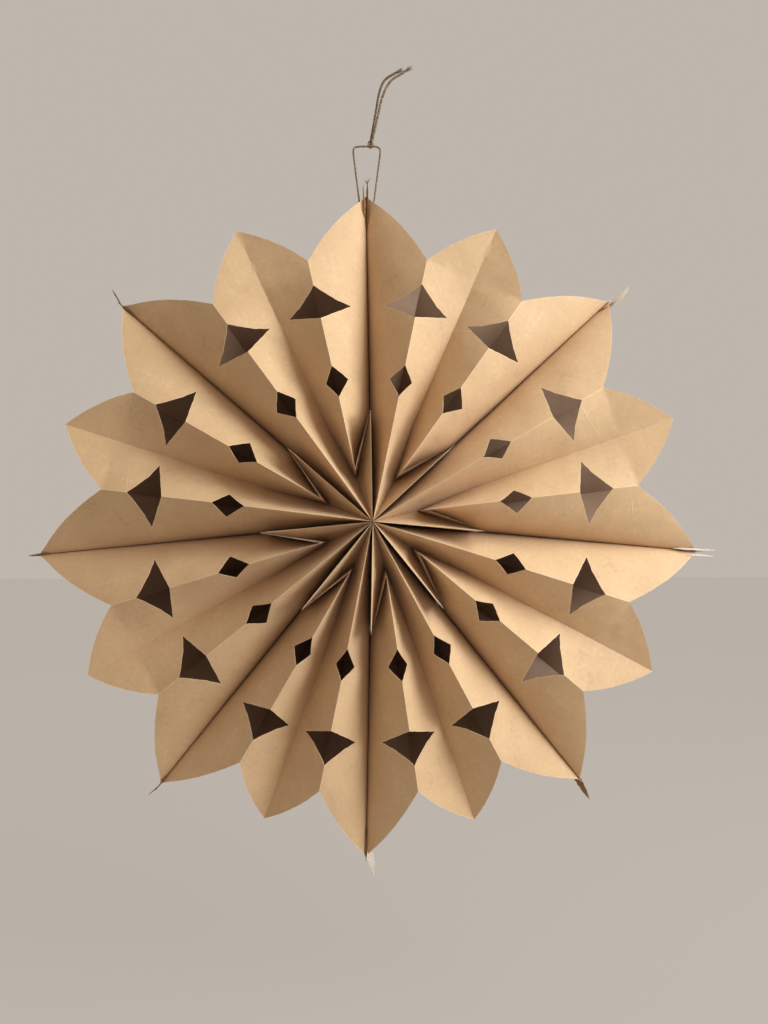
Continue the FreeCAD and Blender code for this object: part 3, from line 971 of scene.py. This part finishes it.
        flat_side = side_of(hub, end, far_fold, -flap)
        flap_side = side_of(turned, under, near_fold, gusset)
        valley = (opened.valley(), (half + gusset, gusset))
        tip_low, tip_high, fold_low = flat_side[-1], flap_side[0], flap_side[-1]
        diagonal = [(opened.gusset(False, side, side, pattern.notch), (half + side, side))
                    for side in gusset_sides]
        near_row = [(opened.gusset(True, gusset, side, pattern.notch),
                     (half + 2 * gusset - side, gusset)) for side in gusset_sides]
        for low, high in zip(flat_side, flat_side[1:]):
            self.sheet.add((high, low, diagonal[1]), False)
        for low, high in zip(flap_side, flap_side[1:]):
            self.sheet.add((low, high, valley), True)
        for left in range(len(gusset_sides) - 1):
            if left:
                self.sheet.add((tip_low, diagonal[left], diagonal[left + 1]), False)
            self.sheet.add((fold_low, near_row[left], near_row[left + 1]), True)
        self.sheet.add((tip_low, tip_high, valley), True)

    def to_object(self, hub: Vector) -> bpy.types.Object:
        """Turn the sheet into an object, in the star's own frame."""
        turn = Matrix.Rotation(-self.seam, 3, "Y")
        mesh = bpy.data.meshes.new("bag_%d_sheet" % self.number)
        mesh.from_pydata([hub + turn @ point for point in self.sheet.points], [],
                         self.sheet.faces)
        flat = mesh.uv_layers.new(name="flat")
        flat.data.foreach_set("uv", [value for flats in self.sheet.flats for uv in flats
                                     for value in uv])
        users: dict[frozenset[int], int] = {}
        for face in self.sheet.faces:
            for start, stop in zip(face, face[1:] + face[:1]):
                edge = frozenset((start, stop))
                users[edge] = users.get(edge, 0) + 1
        rim = {number for edge, count in users.items() if count == 1 for number in edge}
        for name, values in (("relief", self.sheet.relief), ("cut_edge", dict.fromkeys(rim, 1.0))):
            store = mesh.attributes.new(name, "FLOAT", "POINT")
            store.data.foreach_set("value", [values.get(number, 0.0)
                                             for number in range(len(self.sheet.points))])
        piece = placed(mesh.name, mesh)
        LOG.info("bag %d: %d corners, %d rim corners, edge users %s", self.number,
                 len(mesh.vertices), len(rim), sorted(set(users.values())))
        return piece


class PaperBody:
    """Geometry tree that gives a bent sheet its undulation and its thickness."""

    WELD = 0.000002
    SHARP_FOLD = math.radians(24)

    def __init__(self) -> None:
        """Build the tree once; every bag is passed through it."""
        self.nodes = GeometryTree("paper_body", {"Thickness": 0.0002, "Swell": 0.0011,
                                                 "Swell Scale": 30.0, "Seed": 0.0})
        graph = self.nodes.graph
        place = graph.out(graph.add("GeometryNodeInputPosition"))
        normal = graph.out(graph.add("GeometryNodeInputNormal"))
        free = graph.out(graph.add("GeometryNodeInputNamedAttribute", {"Name": "relief"},
                                   data_type="FLOAT"), "Attribute")
        wave = graph.out(graph.add(
            "ShaderNodeTexNoise",
            {"Vector": place, "W": self.nodes.size("Seed"),
             "Scale": self.nodes.size("Swell Scale"), "Detail": 2.5},
            noise_dimensions="4D"))
        height = (wave - 0.5) * free * self.nodes.size("Swell") * 2.0
        bent = graph.add("GeometryNodeSetPosition",
                         {"Geometry": self.nodes.entry.outputs["Geometry"],
                          "Offset": normal.vector("SCALE", height)})
        half = self.nodes.size("Thickness") * 0.5
        inner = graph.add("GeometryNodeSetPosition",
                          {"Geometry": bent.outputs["Geometry"],
                           "Offset": normal.vector("SCALE", half * -1.0)})
        outer = graph.add("GeometryNodeExtrudeMesh",
                          {"Mesh": inner.outputs["Geometry"], "Offset": normal,
                           "Offset Scale": self.nodes.size("Thickness"),
                           "Individual": False}, mode="FACES")
        back = graph.add("GeometryNodeFlipFaces", {"Mesh": inner.outputs["Geometry"]})
        back = graph.add("GeometryNodeStoreNamedAttribute",
                         {"Geometry": back.outputs["Mesh"], "Name": "inside", "Value": 1.0},
                         data_type="FLOAT", domain="FACE")
        both = graph.add("GeometryNodeJoinGeometry")
        for part in (outer, back):
            graph.tree.links.new(part.outputs[0], both.inputs["Geometry"])
        welded = graph.add("GeometryNodeMergeByDistance",
                           {"Geometry": both.outputs["Geometry"], "Distance": self.WELD})
        marked = graph.add("GeometryNodeStoreNamedAttribute",
                           {"Geometry": welded.outputs["Geometry"], "Name": "chance",
                            "Value": self.nodes.size("Seed")},
                           data_type="FLOAT", domain="FACE")
        self.nodes.finish(marked.outputs["Geometry"])

    def dress(self, sheet: bpy.types.Object, name: str, paper: bpy.types.Material,
              seed: float) -> bpy.types.Object:
        """Thicken one sheet and keep its folds and rims crisp.

        Args:
            sheet: The bent sheet; it is removed.
            name: Name of the finished piece.
            paper: What it is made of.
            seed: Makes its undulation its own.

        Returns:
            The finished bag.
        """
        piece = self.nodes.apply(sheet, name, paper, Seed=seed)
        piece.data.set_sharp_from_angle(angle=self.SHARP_FOLD)
        return piece


# -------------------------------------------------------------------------- twine


class CordForm(Enum):
    """Kinds of stretches of the twine."""

    LOOP = "loop"
    TAIL = "tail"


@dataclass(frozen=True)
class Stretch:
    """One stretch of twine: its route and how it ends."""

    name: str
    form: CordForm
    route: tuple[tuple[float, float, float], ...]
    length: float


class Twine:
    """Three-ply jute twine: the hanging loop, its knot and two frayed tails."""

    DIAMETER = 0.0018
    KNOT = Vector((0.0032, 0.0, 0.0016))
    KNOT_POINTS = 28
    PLY_POINTS = 0.0004
    HAIR_SPACING = 0.0011
    HAIR_REACH = 0.0014
    HAIR_RADIUS = 0.00005
    END_HAIRS = 90
    FIRST_SEED = 11
    SIZES = {CordForm.LOOP: {"Ply_Radius": 0.00042, "Offset": 0.00038, "Pitch": 0.0050},
             CordForm.TAIL: {"Ply_Radius": 0.00056, "Offset": 0.00054, "Pitch": 0.0075}}
    STRETCHES = (
        Stretch("twine_loop", CordForm.LOOP,
                ((-0.00007, 0, -0.0760), (0.00213, 0, -0.0760), (0.0035, 0, -0.0655),
                 (0.0102, 0, -0.0132), (0.0116, 0, -0.0024), (0.0093, 0, 0.0),
                 (0.0032, 0, 0.0002), (-0.0090, 0, 0.0), (-0.0114, 0, -0.0024),
                 (-0.0101, 0, -0.0132), (-0.0036, 0, -0.0655), (-0.00227, 0, -0.0760),
                 (-0.00007, 0, -0.0760)), 0.176),
        Stretch("twine_long_tail", CordForm.TAIL,
                ((0.0042, -0.0013, 0.0026), (0.0092, -0.0019, 0.0240),
                 (0.0130, -0.0026, 0.0420), (0.0195, -0.0032, 0.0540),
                 (0.0275, -0.0028, 0.0590), (0.0358, -0.0020, 0.0650)), 0.073),
        Stretch("twine_short_tail", CordForm.TAIL,
                ((0.0028, 0.0013, 0.0026), (0.0070, 0.0016, 0.0250),
                 (0.0100, 0.0020, 0.0460), (0.0140, 0.0016, 0.0565),
                 (0.0205, 0.0010, 0.0610), (0.0285, 0.0, 0.0646)), 0.072),
    )

    def __init__(self, jute: bpy.types.Material) -> None:
        """Keep the finish and build the ply tree."""
        self.jute = jute
        self.plies = self.ply_tree()

    @staticmethod
    def smooth_line(name: str, route: Sequence[Point], fineness: int, order: int
                    ) -> tuple[bpy.types.Object, bpy.types.Spline]:
        """Lay a smooth curve along a route.

        Args:
            name: Name of the curve.
            route: Its control points.
            fineness: Steps from each point to the next.
            order: How smooth it is.

        Returns:
            The curve's object and its spline.
        """
        curve = bpy.data.curves.new(name, "CURVE")
        curve.dimensions = "3D"
        curve.resolution_u = fineness
        spline = curve.splines.new("NURBS")
        spline.points.add(len(route) - 1)
        for point, place in zip(spline.points, route):
            point.co = (*place, 1.0)
        spline.order_u = order
        return placed(name, curve), spline

    def centre_line(self, stretch: Stretch) -> tuple[bpy.types.Object, list[Vector]]:
        """Make the stretch's smooth curve and read the points along it."""
        line, spline = self.smooth_line(stretch.name + "_line", stretch.route, 24, 3)
        spline.use_endpoint_u = True
        seen = bpy.context.evaluated_depsgraph_get()
        mesh = bpy.data.meshes.new_from_object(line.evaluated_get(seen))
        points = [vertex.co.copy() for vertex in mesh.vertices]
        bpy.data.meshes.remove(mesh)
        return line, points

    def ply_tree(self) -> GeometryTree:
        """Tree that lays three twisted plies round a curve."""
        nodes = GeometryTree("twisted_plies", {"Ply Radius": 0.00047, "Offset": 0.00043,
                                               "Pitch": 0.0050})
        graph = nodes.graph
        even = graph.add("GeometryNodeResampleCurve",
                         {"Curve": nodes.entry.outputs["Geometry"],
                          "Length": self.PLY_POINTS},
                         mode="LENGTH")
        tangent = graph.out(graph.add("GeometryNodeInputTangent"))
        normal = graph.out(graph.add("GeometryNodeInputNormal"))
        side = tangent.vector("CROSS_PRODUCT", normal)
        along = graph.out(graph.add("GeometryNodeSplineParameter"), "Length")
        circle = graph.add("GeometryNodeCurvePrimitiveCircle",
                           {"Resolution": 7, "Radius": nodes.size("Ply Radius")})
        both = graph.add("GeometryNodeJoinGeometry")
        for ply in range(3):
            angle = along.math("DIVIDE", nodes.size("Pitch")) * math.tau + ply * math.tau / 3
            offset = normal.vector("SCALE", angle.math("COSINE") * nodes.size("Offset"))
            offset = offset.vector(
                "ADD", side.vector("SCALE", angle.math("SINE") * nodes.size("Offset")))
            moved = graph.add("GeometryNodeSetPosition",
                              {"Geometry": even.outputs["Curve"], "Offset": offset})
            tube = graph.add("GeometryNodeCurveToMesh",
                             {"Curve": moved.outputs["Geometry"],
                              "Profile Curve": circle.outputs["Curve"],
                              "Fill Caps": True})
            graph.tree.links.new(tube.outputs["Mesh"], both.inputs["Geometry"])
        smooth = graph.add("GeometryNodeSetShadeSmooth",
                           {"Geometry": both.outputs["Geometry"]})
        nodes.finish(smooth.outputs["Geometry"])
        return nodes

    def fibres(self, name: str, points: Sequence[Vector], seed: int, end_burst: int
               ) -> bpy.types.Object:
        """Loose hairs that stand off a stretch of twine, and a frayed tip.

        Args:
            name: Name of the piece.
            points: The stretch's centre line.
            seed: Fixes the scatter.
            end_burst: How many longer hairs fan out of the last point.

        Returns:
            One mesh of thin curved hairs.
        """
        pick = random.Random(seed)
        lines: list[list[Vector]] = []
        radius, reach = self.DIAMETER / 2, self.HAIR_REACH
        for start, stop in zip(points, points[1:]):
            step = stop - start
            for _ in range(int(step.length / self.HAIR_SPACING + pick.random())):
                axis = step.normalized()
                out = axis.orthogonal().normalized()
                out.rotate(Matrix.Rotation(pick.uniform(0, math.tau), 3, axis))
                base = start.lerp(stop, pick.random()) + out * radius * 0.8
                lean = axis * pick.choice((-1, 1)) * pick.uniform(0.4, 1.6)
                tip = (out + lean).normalized() * reach * pick.uniform(0.4, 1.0)
                curl = out.cross(axis) * reach * pick.uniform(-0.3, 0.3)
                lines.append([base, base + tip * 0.5 + curl, base + tip])
        if end_burst:
            axis = (points[-1] - points[-2]).normalized()
            for _ in range(end_burst):
                out = axis.orthogonal().normalized()
                out.rotate(Matrix.Rotation(pick.uniform(0, math.tau), 3, axis))
                base = points[-1] - axis * pick.uniform(0.0, 0.004) \
                    + out * radius * pick.uniform(0.2, 1.2)
                tip = (axis + out * pick.uniform(0.0, 0.75)).normalized() \
                    * pick.uniform(0.0015, 0.0038)
                lines.append([base, base + tip * 0.6, base + tip + out * 0.0003])
        return self.hair_mesh(name, lines)

    def hair_mesh(self, name: str, lines: Sequence[Sequence[Vector]]) -> bpy.types.Object:
        """Give each hair a three-sided body that tapers to its tip."""
        corners: list[Vector] = []
        faces: list[tuple[int, ...]] = []
        for line in lines:
            first = len(corners)
            axis = (line[-1] - line[0]).normalized()
            right = axis.orthogonal().normalized()
            rise = axis.cross(right)
            for k, point in enumerate(line):
                thick = self.HAIR_RADIUS * (1 - 0.35 * k)
                for turn in range(3):
                    angle = math.tau * turn / 3
                    corners.append(
                        point + (right * math.cos(angle) + rise * math.sin(angle)) * thick)
            for k in range(len(line) - 1):
                for turn in range(3):
                    low, high = first + 3 * k, first + 3 * k + 3
                    nxt = (turn + 1) % 3
                    faces.append((low + turn, low + nxt, high + nxt, high + turn))
            faces.append((first + 2, first + 1, first))
            top = first + 3 * (len(line) - 1)
            faces.append((top, top + 1, top + 2))
        mesh = bpy.data.meshes.new(name)
        mesh.from_pydata(corners, [], faces)
        mesh.materials.append(self.jute)
        return placed(name, mesh)

    def knot(self) -> bpy.types.Object:
        """Overhand knot: one turn of the same twine drawn into a tight ball."""
        route: list[Point] = []
        for number in range(self.KNOT_POINTS):
            turn = math.tau * number / self.KNOT_POINTS
            radius = 0.0016 + 0.0007 * math.cos(3 * turn)
            route.append((self.KNOT.x + radius * math.cos(2 * turn),
                          self.KNOT.y + 0.0010 * math.sin(3 * turn),
                          self.KNOT.z + radius * math.sin(2 * turn) * 1.1))
        line, spline = self.smooth_line("knot_line", route, 16, 4)
        spline.use_cyclic_u = True
        return self.plies.apply(line, "twine_knot", self.jute)

    def build(self) -> None:
        """Make, declare and dress every stretch."""
        knot = self.knot()
        for number, stretch in enumerate(self.STRETCHES):
            line, points = self.centre_line(stretch)
            tail = stretch.form is CordForm.TAIL
            rope = self.plies.apply(line, stretch.name, self.jute, **self.SIZES[stretch.form])
            fuzz = self.fibres(stretch.name + "_hairs", points, self.FIRST_SEED + number,
                               self.END_HAIRS if tail else 0)
            pieces = [fuzz] if tail else [fuzz, knot]
            for piece in (rope, *pieces):
                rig.ride(piece, "root")
                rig.slot(piece, "jute_twine")
                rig.replaces(piece, "twine")
            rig.cord(rope, exit=stretch.route[0], length=stretch.length,
                    diameter=self.DIAMETER, far_end="bare" if tail else "object",
                    stiffness="limp", lay="hanging" if tail else "taut", path=points,
                    with_pieces=pieces)
            LOG.info("%s: %d points along its line", stretch.name, len(points))


# ---------------------------------------------------------------------- torn paper


class Scrap(Enum):
    """What a torn end shows: pale split paper, plain paper, or glue-stained paper darkened further as painted shade.
    """

    PALE = "torn_pale"
    TAN = "torn_tan"
    SOAKED_SHADED = "torn_soaked_shaded"


@dataclass(frozen=True)
class TornEnd:
    """One pointed rag of paper left at a mouth's tip, beside a glued seam.

    Lengths are in metres and angles in degrees: start is its distance from the hub,
    aside its shift from the seam, lean its turn from the seam's direction, twist how far
    its width turns from edge-on to broadside, and curl how far its point bends.
    """

    seam: int
    scrap: Scrap
    start: float
    length: float
    width: float
    lean: float = 0.0
    twist: float = 30.0
    curl: float = 0.0
    aside: float = 0.0
    depth: float = -0.0075

    STEPS: ClassVar[int] = 12
    THICKNESS: ClassVar[float] = 0.00014
    POINT_WIDTH: ClassVar[float] = 0.00012

    def ribbon(self, seams: Sequence[float], hub: Vector
               ) -> tuple[list[Vector], list[tuple[int, ...]]]:
        """Build the rag as a thin closed wedge.

        Args:
            seams: Angle of every seam, in radians.
            hub: Middle of the star.

        Returns:
            Its corners and its faces.
        """
        angle = seams[self.seam - 1]
        along = Vector((math.cos(angle), 0.0, math.sin(angle)))
        aside = Vector((-math.sin(angle), 0.0, math.cos(angle)))
        depth = Vector((0.0, -1.0, 0.0))
        pick = random.Random(self.seam * 31 + round(self.length * 1e4))
        place = hub + along * self.start + aside * self.aside - depth * self.depth
        corners: list[Vector] = []
        faces: list[tuple[int, ...]] = []
        for k in range(self.STEPS + 1):
            share = k / self.STEPS
            lean = math.radians(self.lean + self.curl * share)
            way = along * math.cos(lean) + aside * math.sin(lean)
            left = way.cross(depth)
            twist = math.radians(self.twist * (0.6 + 0.6 * share))
            across = depth * math.cos(twist) + left * math.sin(twist)
            normal = way.cross(across).normalized()
            ragged = 1.0 + 0.28 * pick.uniform(-1, 1) * min(1.0, 4 * share)
            root = min(1.0, 0.15 + 3.0 * share)
            width = self.width * (1 - share) ** 0.8 * root * ragged * 0.5 \
                + self.POINT_WIDTH
            for side, face in ((-1, -1), (1, -1), (1, 1), (-1, 1)):
                corners.append(place + across * width * side
                               + normal * self.THICKNESS * face / 2)
            if k:
                low, high = 4 * (k - 1), 4 * k
                faces += [(low + n, low + (n + 1) % 4, high + (n + 1) % 4, high + n)
                          for n in range(4)]
            place = place + way * (self.length / self.STEPS)
        faces += [(3, 2, 1, 0), tuple(4 * self.STEPS + n for n in range(4))]
        return corners, faces


class TornEnds:
    """The rags at the eight mouth tips, where scissors and glue left them."""

    CLEAR_OF_FOLDS = 0.9

    RAGS = (
        TornEnd(1, Scrap.SOAKED_SHADED, 0.238, 0.0410, 0.0085, lean=-2.0, twist=26.0),
        TornEnd(1, Scrap.TAN, 0.248, 0.0265, 0.0070, lean=2.0, twist=26.0, aside=0.0014,
                depth=-0.0095),
        TornEnd(1, Scrap.SOAKED_SHADED, 0.275, 0.0060, 0.0007, lean=-16.0, twist=60.0, curl=-16.0,
                aside=-0.0013),
        TornEnd(1, Scrap.SOAKED_SHADED, 0.275, 0.0045, 0.0007, lean=22.0, twist=60.0, curl=18.0,
                aside=-0.0013),
        TornEnd(2, Scrap.SOAKED_SHADED, 0.252, 0.018, 0.0050, twist=26.0),
        TornEnd(2, Scrap.SOAKED_SHADED, 0.266, 0.0150, 0.0030, lean=-18.0, twist=42.0),
        TornEnd(3, Scrap.SOAKED_SHADED, 0.256, 0.0175, 0.0050, twist=38.0),
        TornEnd(4, Scrap.SOAKED_SHADED, 0.255, 0.017, 0.0042, twist=28.0),
        TornEnd(4, Scrap.SOAKED_SHADED, 0.266, 0.0120, 0.0018, lean=-6.0, twist=44.0, curl=-8.0),
        TornEnd(5, Scrap.PALE, 0.258, 0.0225, 0.0085, lean=15.0, twist=70.0, aside=0.0016),
        TornEnd(5, Scrap.SOAKED_SHADED, 0.240, 0.0285, 0.0060, twist=26.0),
        TornEnd(6, Scrap.SOAKED_SHADED, 0.262, 0.0250, 0.0085, lean=-9.0, twist=-58.0, depth=0.003),
        TornEnd(6, Scrap.SOAKED_SHADED, 0.266, 0.0300, 0.0060, lean=-136.0, twist=-60.0, curl=6.0,
                depth=0.008),
        TornEnd(7, Scrap.PALE, 0.244, 0.0350, 0.0032, lean=2.0, twist=46.0, aside=0.0006,
                depth=-0.0100),
        TornEnd(7, Scrap.PALE, 0.252, 0.0255, 0.0030, lean=6.0, twist=46.0, curl=-10.0,
                aside=-0.0040, depth=-0.0100),
        TornEnd(7, Scrap.SOAKED_SHADED, 0.250, 0.0200, 0.0048, twist=24.0),
        TornEnd(8, Scrap.PALE, 0.262, 0.0240, 0.0085, lean=-1.0, twist=66.0, curl=10.0,
                aside=-0.0040),
        TornEnd(8, Scrap.SOAKED_SHADED, 0.254, 0.0150, 0.0050, lean=-14.0, twist=34.0),
    )

    def build(self, seams: Sequence[float], hub: Vector,
              finishes: dict[Scrap, bpy.types.Material]) -> None:
        """Make one piece of each finish that holds all its rags."""
        for scrap, finish in finishes.items():
            corners: list[Vector] = []
            faces: list[tuple[int, ...]] = []
            for rag in self.RAGS:
                if rag.scrap is scrap:
                    points, sides = rag.ribbon(seams, hub)
                    faces += [tuple(len(corners) + n for n in side) for side in sides]
                    corners += points
            mesh = bpy.data.meshes.new(scrap.value)
            mesh.from_pydata(corners, [], faces)
            flat = mesh.uv_layers.new(name="flat")
            for loop in mesh.loops:
                point = corners[loop.vertex_index]
                flat.data[loop.index].uv = (point.x + self.CLEAR_OF_FOLDS, point.z)
            mesh.materials.append(finish)
            piece = placed(scrap.value, mesh)
            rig.ride(piece, "root")
            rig.slot(piece, "kraft_paper")


# --------------------------------------------------------------------------- star


class Snowflake:
    """The eight bags round their hub."""

    HUB = Vector((0.004, 0.0, -0.310))
    FIRST_SEAM = 91.0
    FANS = (48.0, 46.5, 45.5, 38.0, 40.0, 46.0, 48.0, 48.0)
    SEED_STEP = 3.7

    def build(self, paper: bpy.types.Material) -> None:
        """Fold, thicken and dress every bag."""
        body = PaperBody()
        pattern, held = CutPattern(), Opening()
        seam = self.FIRST_SEAM
        for number, fan in enumerate(self.FANS, start=1):
            bag = Bag(number, seam, fan, pattern, held)
            bag.fold()
            piece = body.dress(bag.to_object(self.HUB), "paper_bag_%d" % number, paper,
                               number * self.SEED_STEP)
            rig.ride(piece, "root")
            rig.slot(piece, "kraft_paper")
            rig.replaces(piece, "bag_%d" % number)
            LOG.info("bag %d: %d faces", number, len(piece.data.polygons))
            seam += fan

    def seams(self) -> list[float]:
        """Angle of every seam, in radians."""
        return [math.radians(self.FIRST_SEAM + sum(self.FANS[:n])) for n in range(len(self.FANS))]


# -------------------------------------------------------------------------- studio


class Studio:
    """Camera, pale floor and soft light."""

    EYE_SHIFT = Vector((-0.010006, 0.62506, -0.008814))
    TILT = math.radians(-1.617)
    TURN = math.radians(1.572)
    FOCAL_SHARE = 769.0 / 1024.0
    FRONT_LIGHT = 0.57
    BACK_LIGHT = 0.42
    BACKDROP = (0.52, 0.47, 0.42, 1.0)
    FLOOR_COLOUR = (0.50, 0.47, 0.44, 1.0)
    FLOOR_BLEND = 0.85
    FLOOR_LEVEL = -0.70
    FLOOR_REACH = 6
    ROOM_COLOUR = (1.0, 0.90, 0.78, 1.0)
    LAMP_DISTANCE = 1.35
    LAMP_EDGE = 0.64

    def camera(self) -> None:
        """Stand the camera square in front of the star, a little turned."""
        turn = Matrix.Rotation(self.TURN, 3, "Z") @ Matrix.Rotation(self.TILT, 3, "X")
        back = turn.transposed()
        data = bpy.data.cameras.new("camera")
        data.sensor_fit = "VERTICAL"
        data.sensor_height = 36.0
        data.lens = 36.0 * self.FOCAL_SHARE
        data.clip_start = 0.01
        right, forward, up = (back @ Vector(axis) for axis in ((1, 0, 0), (0, 1, 0), (0, 0, 1)))
        pose = Matrix((right, up, -forward)).transposed().to_4x4()
        pose.translation = Snowflake.HUB - back @ self.EYE_SHIFT
        camera = placed("camera", data)
        camera.matrix_world = pose
        bpy.context.scene.camera = camera

    @staticmethod
    def seen(graph: Graph) -> Field:
        """Tell the rays that meet the backdrop: camera, glossy and transmission rays.

        Args:
            graph: Tree of the world or of the floor.

        Returns:
            One for such a ray, nought for the rays that light the star.
        """
        path = graph.add("ShaderNodeLightPath")
        seen = graph.out(path, "Is Camera Ray")
        for ray in ("Is Glossy Ray", "Is Transmission Ray"):
            seen = seen.math("MAXIMUM", graph.out(path, ray))
        return seen

    def floor(self) -> None:
        """Lay a plain pale floor under the star."""
        material = bpy.data.materials.new("floor")
        material.use_nodes = True
        tree = material.node_tree
        surface = tree.nodes["Principled BSDF"]
        surface.inputs["Base Color"].default_value = self.FLOOR_COLOUR
        surface.inputs["Roughness"].default_value = 0.9
        graph = Graph(tree)
        seen = self.seen(graph)
        plain = graph.add("ShaderNodeEmission", {"Color": self.BACKDROP, "Strength": 1.0})
        pick = graph.add("ShaderNodeMixShader", {0: seen * self.FLOOR_BLEND, 1: surface.outputs[0],
                                                 2: plain.outputs[0]})
        tree.links.new(pick.outputs[0], tree.nodes["Material Output"].inputs["Surface"])
        mesh = bpy.data.meshes.new("floor")
        reach, level = self.FLOOR_REACH, self.FLOOR_LEVEL
        mesh.from_pydata([(x * reach, y * reach, level)
                          for x, y in ((-1, -1), (1, -1), (1, 1), (-1, 1))], [], [(0, 1, 2, 3)])
        mesh.materials.append(material)
        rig.stage(placed("floor", mesh))

    def lamp(self, name: str, bearing: float, height: float, power: float, colour: Point
             ) -> None:
        """Hang one soft square lamp aimed at the star.

        Args:
            name: The lamp's name.
            bearing: Degrees to the right of straight in front of the star.
            height: Degrees above the hub.
            power: In watts.
            colour: Red, green and blue.
        """
        data = bpy.data.lights.new(name, "AREA")
        data.size = self.LAMP_EDGE
        data.energy = power
        data.color = colour
        lamp = placed(name, data)
        turn, lift = math.radians(bearing), math.radians(height)
        way = Vector((math.sin(turn) * math.cos(lift), -math.cos(turn) * math.cos(lift),
                      math.sin(lift)))
        lamp.location = Snowflake.HUB + way * self.LAMP_DISTANCE
        lamp.rotation_euler = (-way).to_track_quat("-Z", "Y").to_euler()

    def world(self) -> None:
        """Give the room an even light and a pale backdrop."""
        world = bpy.data.worlds.new("room")
        world.use_nodes = True
        tree = world.node_tree
        tree.nodes.clear()
        graph = Graph(tree)
        seen = self.seen(graph)
        way = graph.out(graph.add("ShaderNodeTexCoord"), "Generated")
        behind = graph.out(graph.add("ShaderNodeSeparateXYZ", {0: way}), "Y")
        strength = behind.smooth(0.5, -0.4) * (self.FRONT_LIGHT - self.BACK_LIGHT) \
            + self.BACK_LIGHT
        room = graph.add("ShaderNodeBackground", {"Color": self.ROOM_COLOUR,
                                                  "Strength": strength})
        backdrop = graph.add("ShaderNodeBackground", {"Color": self.BACKDROP,
                                                      "Strength": 1.0})
        pick = graph.add("ShaderNodeMixShader", {0: seen, 1: room.outputs[0],
                                                 2: backdrop.outputs[0]})
        graph.add("ShaderNodeOutputWorld", {"Surface": pick.outputs[0]})
        bpy.context.scene.world = world

    def build(self) -> None:
        """Set up everything that isn't the object."""
        self.floor()
        self.world()
        self.lamp("key", 60.0, 15.0, 15.5, (0.86, 0.94, 1.0))
        self.lamp("high", 60.0, 45.0, 9.2, (0.93, 1.0, 0.97))
        bpy.context.scene.view_settings.view_transform = "Standard"


def main() -> None:
    """Build the scene: camera and twine first, then the paper, then the studio."""
    logging.basicConfig(level=logging.INFO, format="%(name)s: %(message)s")
    studio = Studio()
    studio.camera()
    Twine(JuteTwine().build()).build()
    star = Snowflake()
    paper = KraftPaper().build()
    star.build(paper)
    pale = KraftPaper("torn_kraft", dark=(0.52, 0.43, 0.34, 1.0), body=(0.60, 0.51, 0.41, 1.0),
                      light=(0.68, 0.59, 0.49, 1.0))
    # Dark rag paper: glue-stained, and darkened further as painted shade for rags that lie in shadow.
    soaked_and_shaded = KraftPaper("soaked_shaded_kraft", dark=(0.21, 0.095, 0.045, 1.0),
                        body=(0.29, 0.14, 0.068, 1.0), light=(0.38, 0.20, 0.10, 1.0))
    TornEnds().build(star.seams(), star.HUB, {
        Scrap.PALE: pale.build(), Scrap.TAN: paper, Scrap.SOAKED_SHADED: soaked_and_shaded.build()})
    studio.build()
    with open("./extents.json", "w", encoding="utf-8") as out:
        json.dump({"cad": [list(corner) for corner in CAD_BOX],
                   "visual": [list(corner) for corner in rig.bounds()]}, out)


if __name__ == "__main__":
    main()
